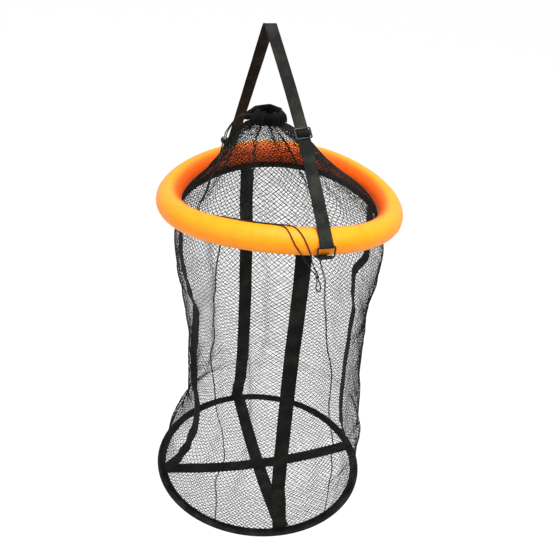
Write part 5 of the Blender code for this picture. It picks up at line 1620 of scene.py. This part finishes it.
def running_weave():
    """The running ply over the middle bar, top to bottom."""
    over = EYE_RADIUS + PLY_STEP
    upper, lower = Vector((-KNEE, 0)), Vector((KNEE, 0))
    up_touch = tangent(upper, 0, WEAVE_HUB, over, 1)[1]
    down_touch = tangent(WEAVE_HUB, over, lower, 0, 1)[0]
    start, end = [angle_about(WEAVE_HUB, touch) for touch in (up_touch, down_touch)]
    hump = arc(WEAVE_HUB, over, start, end, HUMP_STEPS)
    approach = Vector((TRIGLIDE_APPROACH, 0))
    return in_triglide([-approach, upper, *hump, lower, approach])


def return_eye():
    """The strap's end round the middle bar, from its tail to the ply behind the leg."""
    knee = Vector((KNEE, -PLY_STEP))
    eye_touch = tangent(knee, 0, WEAVE_HUB, EYE_RADIUS, 1)[1]
    tail_touch = tangent(WEAVE_HUB, EYE_RADIUS, TAIL_SPOT, 0, 1)[0]
    start, end = [angle_about(WEAVE_HUB, touch) for touch in (tail_touch, eye_touch)]
    round_bar = arc(WEAVE_HUB, EYE_RADIUS, start, end + FULL_TURN, EYE_STEPS)
    return in_triglide([TAIL_SPOT, *round_bar, knee, Vector((TRIGLIDE_APPROACH, -PLY_STEP))])


# %% Cut the strap into its stretches
STRAP_NODES = ["carry_strap", "strap_return_ply"]
FOOT_START = 0.352
FOOT_END = 0.418
BACK_FOOT_START = 0.310
BACK_FOOT_END = 0.395
TURN_STEPS = 14
WEAVE = running_weave()
EYE = return_eye()
upper_end = TRIGLIDE_DISTANCE - TRIGLIDE_APPROACH
lower_start = TRIGLIDE_DISTANCE + TRIGLIDE_APPROACH


def bending_piece(name, plies, replaced):
    """A stretch across a joint, built in place on no body."""
    piece = webbing_piece(name, plies, CARRY_WIDTH, None, replaced)
    plies[0][0][0]
    plies[0][-1][0]
    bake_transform(piece)
    return piece


def turn_piece(name, seat, start, bow, replaced):
    """The lowest stretch: down the outer ply, round the loop's upper bar and up behind the leg."""
    outer = leg_stations(seat, start, seat.length, 0, bow)[:-1]
    round_bar = [(seat.place(spot), seat.foot_across) for spot in seat.turn(TURN_STEPS)]
    inner = leg_stations(seat, seat.inner_length, start, 1, bow)[1:]
    stations = outer + round_bar + inner
    piece = webbing_piece(name, [stations], CARRY_WIDTH, None, replaced, 0)
    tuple(outer[0][0])
    seat.place(seat.bar_touch)
    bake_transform(piece)


crown = FOLD[:-1] + leg_stations(BACK, 0, BACK_FOOT_START)
webbing_piece("carry_strap_crown", [crown], CARRY_WIDTH, "strap", ["carry_strap"])
upper_leg = leg_stations(FRONT, 0, upper_end, 0, LEG_BOW)[:-1] + WEAVE[:1]
bending_piece("carry_strap_front_upper", [upper_leg], ["carry_strap"])
webbing_piece("carry_strap_weave", [WEAVE, EYE], CARRY_WIDTH, "triglide_body", STRAP_NODES, 0)
lower_leg = [line[-1:] + leg_stations(FRONT, lower_start, FOOT_START, behind, LEG_BOW)[1:]
             for behind, line in enumerate((WEAVE, EYE))]
bending_piece("carry_strap_front_lower", lower_leg, STRAP_NODES)
front_foot = [leg_stations(FRONT, FOOT_START, FOOT_END, behind, LEG_BOW) for behind in (0, 1)]
bending_piece("carry_strap_front_foot", front_foot, STRAP_NODES)
turn_piece("carry_strap_front_turn", FRONT, FOOT_END, LEG_BOW, STRAP_NODES)
tail_top = BACK.tube_distance - TAIL_LENGTH
back_foot = [leg_stations(BACK, top, BACK_FOOT_END, behind)
             for behind, top in enumerate((BACK_FOOT_START, tail_top))]
bending_piece("carry_strap_back_foot", back_foot, ["carry_strap"])
turn_piece("carry_strap_back_turn", BACK, BACK_FOOT_END, 0, ["carry_strap"])
print(f"front leg {FRONT.length:.4f} m, tube at {FRONT.tube_distance:.4f} m")

# %% [markdown]
# ## The moulded fittings
#
# The loops are round bar bent to a rectangle, so a closed curve with a round bevel is the
# whole shape. The tri-glide is a plate with two slots: a flat curve with two holes in it,
# given thickness and a small rounding by the curve's own extrude and bevel.

# %% Mould the loops and the tri-glide
TRIGLIDE_CORNER = 0.0030
TRIGLIDE_SLOT_WIDTH = 0.028
TRIGLIDE_SLOT_CORNER = 0.0010
TRIGLIDE_ROUND = 0.0004


def rounded_rectangle(width, height, radius, steps=6):
    """Corner points of a rectangle with round corners, anticlockwise, about the origin."""
    points = []
    for x, y, quarter in ((1, 1, 0), (-1, 1, 1), (-1, -1, 2), (1, -1, 3)):
        hub = Vector((x * (width / 2 - radius), y * (height / 2 - radius)))
        points += arc(hub, radius, quarter * pi / 2, (quarter + 1) * pi / 2, steps)
    return points


def curve_piece(name, outlines, frame_matrix, body, replaced, **settings):
    """A moulded piece drawn as flat closed outlines in a frame."""
    curve = new_curve(name, **settings)
    for outline in outlines:
        add_line(curve, outline, True)
    mesh_data = solid_line(name + "_outline", curve)
    bmesh.ops.transform(mesh_data, verts=mesh_data.verts, matrix=frame_matrix)
    return add_piece(name, mesh_data, ACETAL, body, replaced, radians(35))


def mould_loop(side, seat):
    """One loop: a round bar bent to a rectangle, upright on the ring."""
    middle = seat.place((seat.upper_bar + seat.lower_bar) / 2)
    outline = rounded_rectangle(LOOP_WIDTH - 2 * LOOP_BAR_RADIUS, LOOP_HEIGHT - 2 * LOOP_BAR_RADIUS,
                                LOOP_CORNER_RADIUS)
    curve_piece(f"{side}_moulded_loop", [outline], axes_frame(middle, seat.across, outward(seat.azimuth)),
                f"{side}_loop_body", [f"{side}_loop"], dimensions="3D", bevel_depth=LOOP_BAR_RADIUS,
                bevel_resolution=6)


def mould_triglide():
    """The tri-glide: a plate with a slot above and below its middle bar."""
    slot_height = TRIGLIDE_HEIGHT / 2 - 3 * TRIGLIDE_BAR / 2
    rim = 2 * TRIGLIDE_ROUND
    plate = rounded_rectangle(TRIGLIDE_WIDTH - rim, TRIGLIDE_HEIGHT - rim, TRIGLIDE_CORNER)
    slot = rounded_rectangle(TRIGLIDE_SLOT_WIDTH + rim, slot_height + rim, TRIGLIDE_SLOT_CORNER)
    middle = Vector((0, TRIGLIDE_BAR / 2 + slot_height / 2))
    slots = [[middle * way + point for point in slot] for way in (1, -1)]
    curve_piece("triglide_plate", [plate, *slots], TRIGLIDE, "triglide_body", ["triglide"],
                dimensions="2D", fill_mode="BOTH", extrude=TRIGLIDE_THICKNESS / 2 - TRIGLIDE_ROUND,
                bevel_depth=TRIGLIDE_ROUND, bevel_resolution=2)


mould_loop("front", FRONT)
mould_loop("back", BACK)
mould_triglide()

# %% [markdown]
# ## The tabs
#
# A short strap is folded round each loop's lower bar and sewn under the float. Its two plies
# hug the tube from below, then rise to the bar and turn over it.

# %% Build the tabs
TAB_START_ANGLE = radians(-104)
TAB_HUG_GAP = 0.0007
TAB_ARC_STEPS = 12
TAB_EYE_STEPS = 14


def tube_run(azimuth):
    """Unit vector along the float tube's centreline."""
    slope = -2 * RING_WARP * sin(2 * (azimuth - RING_WARP_AZIMUTH))
    return (sideways(azimuth) * RING_RADIUS + Vector((0, 0, slope))).normalized()


def tab_stations(seat):
    """The tab's run: under the tube, over the lower bar and back under the tube."""
    reaches = [TUBE_RADIUS + TAB_HUG_GAP + WEB_THICKNESS / 2 + PLY_STEP * ply for ply in (0, 1)]
    eye = seat.turn_radius
    tube_inner, eye_inner = tangent(seat.tube, reaches[0], seat.lower_bar, -eye, -1)
    tube_outer, eye_outer = tangent(seat.tube, reaches[1], seat.lower_bar, eye, -1)
    inner = arc(seat.tube, reaches[0], TAB_START_ANGLE, angle_about(seat.tube, tube_inner), TAB_ARC_STEPS)
    outer = arc(seat.tube, reaches[1], angle_about(seat.tube, tube_outer), TAB_START_ANGLE, TAB_ARC_STEPS)
    start, end = angle_about(seat.lower_bar, eye_inner), angle_about(seat.lower_bar, eye_outer)
    over_bar = arc(seat.lower_bar, eye, start + FULL_TURN * (start < end), end, TAB_EYE_STEPS)
    run = tube_run(seat.azimuth)
    parts = ((inner, run), (over_bar, seat.across), (outer, run))
    return [(seat.place(spot), way) for spots, way in parts for spot in spots]


for side, seat in (("front", FRONT), ("back", BACK)):
    webbing_piece(f"{side}_loop_tab", [tab_stations(seat)], CARRY_WIDTH, "ring",
                  [f"{side}_anchor_tab"], 0)

# %% [markdown]
# ## The closure
#
# The top of the collar is a band of taffeta folded over the drawcord. Drawn tight, it falls
# into nine deep pleats with fine gathers on them, no two alike, and closes over the cord like
# a low dome with a ragged foot. The band is laid out as a grid in azimuth and along its fold,
# and then given its thickness. The cloth's flat size is measured along that grid.

# %% Build the hem
HEM_HEIGHT = 0.017
HEM_OUTER_PLEAT = 0.014
HEM_COLUMNS = 720
HEM_ROWS = 28
HEM_CLOTH = 0.0005
HEM_CLOSED_PLEAT = 0.017
HEM_DOME = 0.0085
HEM_GATHER = 0.0017
HEM_GATHERS = 47
HEM_GATHER_WANDER = 1.4
HEM_GATHER_WAVES = 4.1
HEM_RAGGED = 0.0030
HEM_RAGGED_WAVES = 5
HEM_DOME_LEVEL = 0.75
HEM_DOME_UNEVENNESS = 0.3
HEM_DOME_WAVES = 1.3
HEM_CREST_LEVEL = 0.75
HEM_CREST_UNEVENNESS = 0.5
HEM_CREST_WAVES = 2.6
HEM_SINK = 0.0015
HEM_SHOULDER_SHARE = 0.35
HEM_OUTER_SHARES = ((1, 1.05), (1, 1), (1, 0.75), (0, 0.25))
HEM_INNER_SHARES = ((0, 0.35), (0, 0.8), (1, 1), (1, 0.8))


def hem_wave(azimuth):
    """Pleat wave of the drawn hem: 0 in a valley and 1 on a crest, no two crests alike."""
    turn = azimuth - HEM_EXIT_AZIMUTH + PLEAT_WANDER * round_noise(azimuth, PLEAT_WANDER_WAVES)
    wave = (1 - cos(COLLAR_PLEATS * turn) * 3 / 4 - cos(2 * COLLAR_PLEATS * turn + 2) / 4) / 2
    crest = HEM_CREST_LEVEL + HEM_CREST_UNEVENNESS * round_noise(azimuth, HEM_CREST_WAVES, (5, 0, 0))
    return wave * crest


def hem_gather(azimuth):
    """Fine gathers that ride on the pleats, always away from the cord inside."""
    shift = HEM_GATHER_WANDER * round_noise(azimuth, HEM_GATHER_WAVES, (0, 0, 2))
    return HEM_GATHER * (1 + sin(HEM_GATHERS * azimuth + FULL_TURN * shift)) / 2


def hem_section(azimuth):
    """The folded band's (radius, level) points at one azimuth, outer foot to inner foot."""
    wave = max(0, hem_wave(azimuth))
    room = CORD_RADIUS + CLEARANCE + HEM_THICKNESS / 2
    gather = hem_gather(azimuth)
    ragged = HEM_RAGGED * round_noise(azimuth, HEM_RAGGED_WAVES, (0, 9, 0))
    uneven = HEM_DOME_UNEVENNESS * round_noise(azimuth, HEM_DOME_WAVES, (0, 0, 4))
    dome = HEM_DOME * (HEM_DOME_LEVEL + (1 - HEM_DOME_LEVEL) * wave + uneven)
    outer, inner = HEM_OUTER_PLEAT * wave + gather, HEM_CLOSED_PLEAT * wave + gather / 2
    foot = HEM_TOP - HEM_HEIGHT
    radii = [HEM_CORD_RADIUS + room * rooms + outer * share for rooms, share in HEM_OUTER_SHARES]
    radii += [HEM_CORD_RADIUS - room * rooms - inner * share for rooms, share in HEM_INNER_SHARES]
    levels = [foot + ragged - gather, foot + HEM_HEIGHT * HEM_SHOULDER_SHARE,
              HEM_TOP - room - HEM_SINK * wave, HEM_TOP + dome / 2, HEM_TOP + dome,
              HEM_TOP + dome * 4 / 5, foot + HEM_HEIGHT / 2, foot]
    line = [Vector(spot) for spot in zip(radii, levels)]
    return smooth_route(line, 0, HEM_ROWS // (len(line) - 1))


def hem_sections():
    """The band's runs across its fold, from one side of the strands' gap round to the other."""
    half_gap = HEM_EXIT_WIDTH / HEM_CORD_RADIUS / 2
    start = HEM_EXIT_AZIMUTH + half_gap
    return [[hem_point(azimuth, *spot) for spot in hem_section(azimuth)]
            for azimuth in spread(start, start + (FULL_TURN - 2 * half_gap), HEM_COLUMNS)]


def flat_size(sections):
    """The band's mean length round its pleats and its mean width across the fold."""
    rounds = [path_length([section[row] for section in sections]) for row in range(HEM_ROWS + 1)]
    widths = [path_length(section) for section in sections]
    return sum(rounds) / len(rounds), sum(widths) / len(widths)


def build_hem(sections, cloth_size):
    """The pleated band from its sections."""
    mesh_data = bmesh.new()
    wrap_cloth(mesh_data, HEM_COLUMNS, HEM_ROWS,
               lambda u, v: sections[round(u * HEM_COLUMNS)][round(v * HEM_ROWS)], cloth_size)
    bmesh.ops.recalc_face_normals(mesh_data, faces=mesh_data.faces)
    bmesh.ops.solidify(mesh_data, geom=mesh_data.faces[:], thickness=HEM_CLOTH)
    return add_piece("collar_hem_band", mesh_data, TAFFETA, "ring", ["collar_hem"],
                     radians(70))


HEM_SECTIONS = hem_sections()
HEM_FLAT = flat_size(HEM_SECTIONS)
hem = build_hem(HEM_SECTIONS, HEM_FLAT)
print(f"hem cloth laid flat: {HEM_FLAT[0]:.3f} x {HEM_FLAT[1]:.3f} m")

# %% [markdown]
# ## Pieces that keep their solid form
#
# The foam, its plug, the wire and its ferrule are hidden inside others.
# Their solids already have the right form, so they only take their real finishes.

# %% Finish the hidden pieces
for node_name, finish in (("float_foam", FOAM), ("float_foam_plug", FOAM), ("hoop_wire", STEEL),
                          ("hoop_ferrule", STEEL)):
    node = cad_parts[node_name]
    node.data.materials.clear()
    node.data.materials.append(finish)

# %% [markdown]
# ## The nets' cut and twine cover
#
# For netting the cut is given as width and length, and its area as what the twine alone
# covers, because the rest is holes.


def twine_area(piece):
    """Half of a net's surface, which is what its twine covers on both faces."""
    return sum(face.area for face in piece.data.polygons) / 2


def thread_cover(length, radius):
    """What a length of twine covers, as half of the skin of its three-sided thread."""
    return length * 3 * sqrt(3) / 2 * radius


def net_cover(cut, columns, rows, radius):
    """Twine cover of a flat net: both families of threads, each a column over at every row."""
    return thread_cover(2 * columns * hypot(cut[0] * rows / columns, cut[1]), radius)


SIDE_CUT = (1.48, 0.74)
COLLAR_CUT = (1.48, 0.26)
FLOOR_CUT = (0.485, 0.485)
SIDE_COVER = net_cover(SIDE_CUT, NET_COLUMNS, SIDE_NET_ROWS, TWINE_RADIUS)
COLLAR_COVER = net_cover(COLLAR_CUT, COLLAR_COLUMNS, COLLAR_ROWS, COLLAR_TWINE_RADIUS)
FLOOR_COVER = thread_cover(2 * pi * (FLOOR_CUT[0] / 2) ** 2 / FLOOR_PITCH, TWINE_RADIUS)
for net, cut, cover_area in ((side_net, SIDE_CUT, SIDE_COVER), (collar_net, COLLAR_CUT, COLLAR_COVER),
                             (floor_net, FLOOR_CUT, FLOOR_COVER)):
    print(f"{net.name}: {cut} m, twine {cover_area:.3f} m2 by its mesh, {twine_area(net):.3f} measured")

# %% [markdown]
# ## Light, floor and background
#
# The photograph was cut out on pure white. Broad area lamps from above, the front right and the
# left give soft light with a highlight along the float's top. The floor is pale and lies far
# below, so it keeps only a faint soft shadow. The world is white where it is seen, and softer
# as a light.

# %% Set the stage
FLOOR_LEVEL = -1.75
FLOOR_RADIUS = 18.0
FLOOR_SEGMENTS = 96
FLOOR_GLOW = 0.87
AMBIENT_STRENGTH = 0.5
LIGHT_TARGET = Vector((0.045, -0.014, -0.55))
LAMPS = (
    ("key_lamp", (0.7, -1.9, 1.3), 1.2, 34),
    ("top_lamp", (0.2, -0.6, 2.2), 1.4, 82),
    ("left_lamp", (-2.2, -0.9, 0.4), 1.6, 18),
)


def rays_that_see(tree):
    """1 for rays from the camera, in reflections and through glass, else 0."""
    rays = add_node(tree, "ShaderNodeLightPath").outputs
    seen = rays["Is Camera Ray"]
    for kind in ("Is Transmission Ray", "Is Glossy Ray"):
        larger = add_node(tree, "ShaderNodeMath", {"operation": "MAXIMUM"}, {0: seen, 1: rays[kind]})
        seen = larger.outputs[0]
    return seen


def floor_finish():
    """Pale matt paint, lifted to white where it is seen, so that only the shadow is left on it."""
    finish, tree, shader = start_finish("studio_floor_paint", "#F4F4F4", 0.9, Specular_IOR_Level=0.0)
    shader.inputs["Emission Color"].default_value = linear("#FFFFFF")
    seen = rays_that_see(tree)
    glow = add_node(tree, "ShaderNodeMath", {"operation": "MULTIPLY"}, {0: seen})
    glow.inputs[1].default_value = FLOOR_GLOW
    feed(tree, shader, Emission_Strength=glow.outputs[0],
         Base_Color=shade_between(tree, seen, "#F4F4F4", "#888888"))
    return finish


def add_floor():
    """A plain pale disc far below the net."""
    mesh_data = bmesh.new()
    bmesh.ops.create_circle(mesh_data, cap_ends=True, radius=FLOOR_RADIUS, segments=FLOOR_SEGMENTS)
    bmesh.ops.translate(mesh_data, verts=mesh_data.verts, vec=(0, 0, FLOOR_LEVEL))
    mesh = bpy.data.meshes.new("studio_floor")
    mesh_data.to_mesh(mesh)
    mesh_data.free()
    mesh.materials.append(floor_finish())
    add_object("studio_floor", mesh)


def add_lamp(name, place, size, power):
    """A square area lamp that faces the net."""
    data = bpy.data.lights.new(name, "AREA")
    data.size = size
    data.energy = power
    lamp = add_object(name, data)
    facing = (Vector(place) - LIGHT_TARGET).to_track_quat("Z", "Y").to_matrix().to_4x4()
    lamp.matrix_world = Matrix.Translation(place) @ facing


def set_world():
    """White to the camera, reflections and glass; softer as a light."""
    world = bpy.data.worlds.new("studio")
    bpy.context.scene.world = world
    world.use_nodes = True
    tree = world.node_tree
    strength = add_node(tree, "ShaderNodeMapRange", links={"Value": rays_that_see(tree)},
                        To_Min=AMBIENT_STRENGTH, To_Max=1.0)
    background = tree.nodes["Background"]
    background.inputs["Color"].default_value = linear("#FFFFFF")
    tree.links.new(strength.outputs["Result"], background.inputs["Strength"])


add_floor()
for lamp_row in LAMPS:
    add_lamp(*lamp_row)
set_world()
bpy.context.scene.view_settings.view_transform = "Standard"
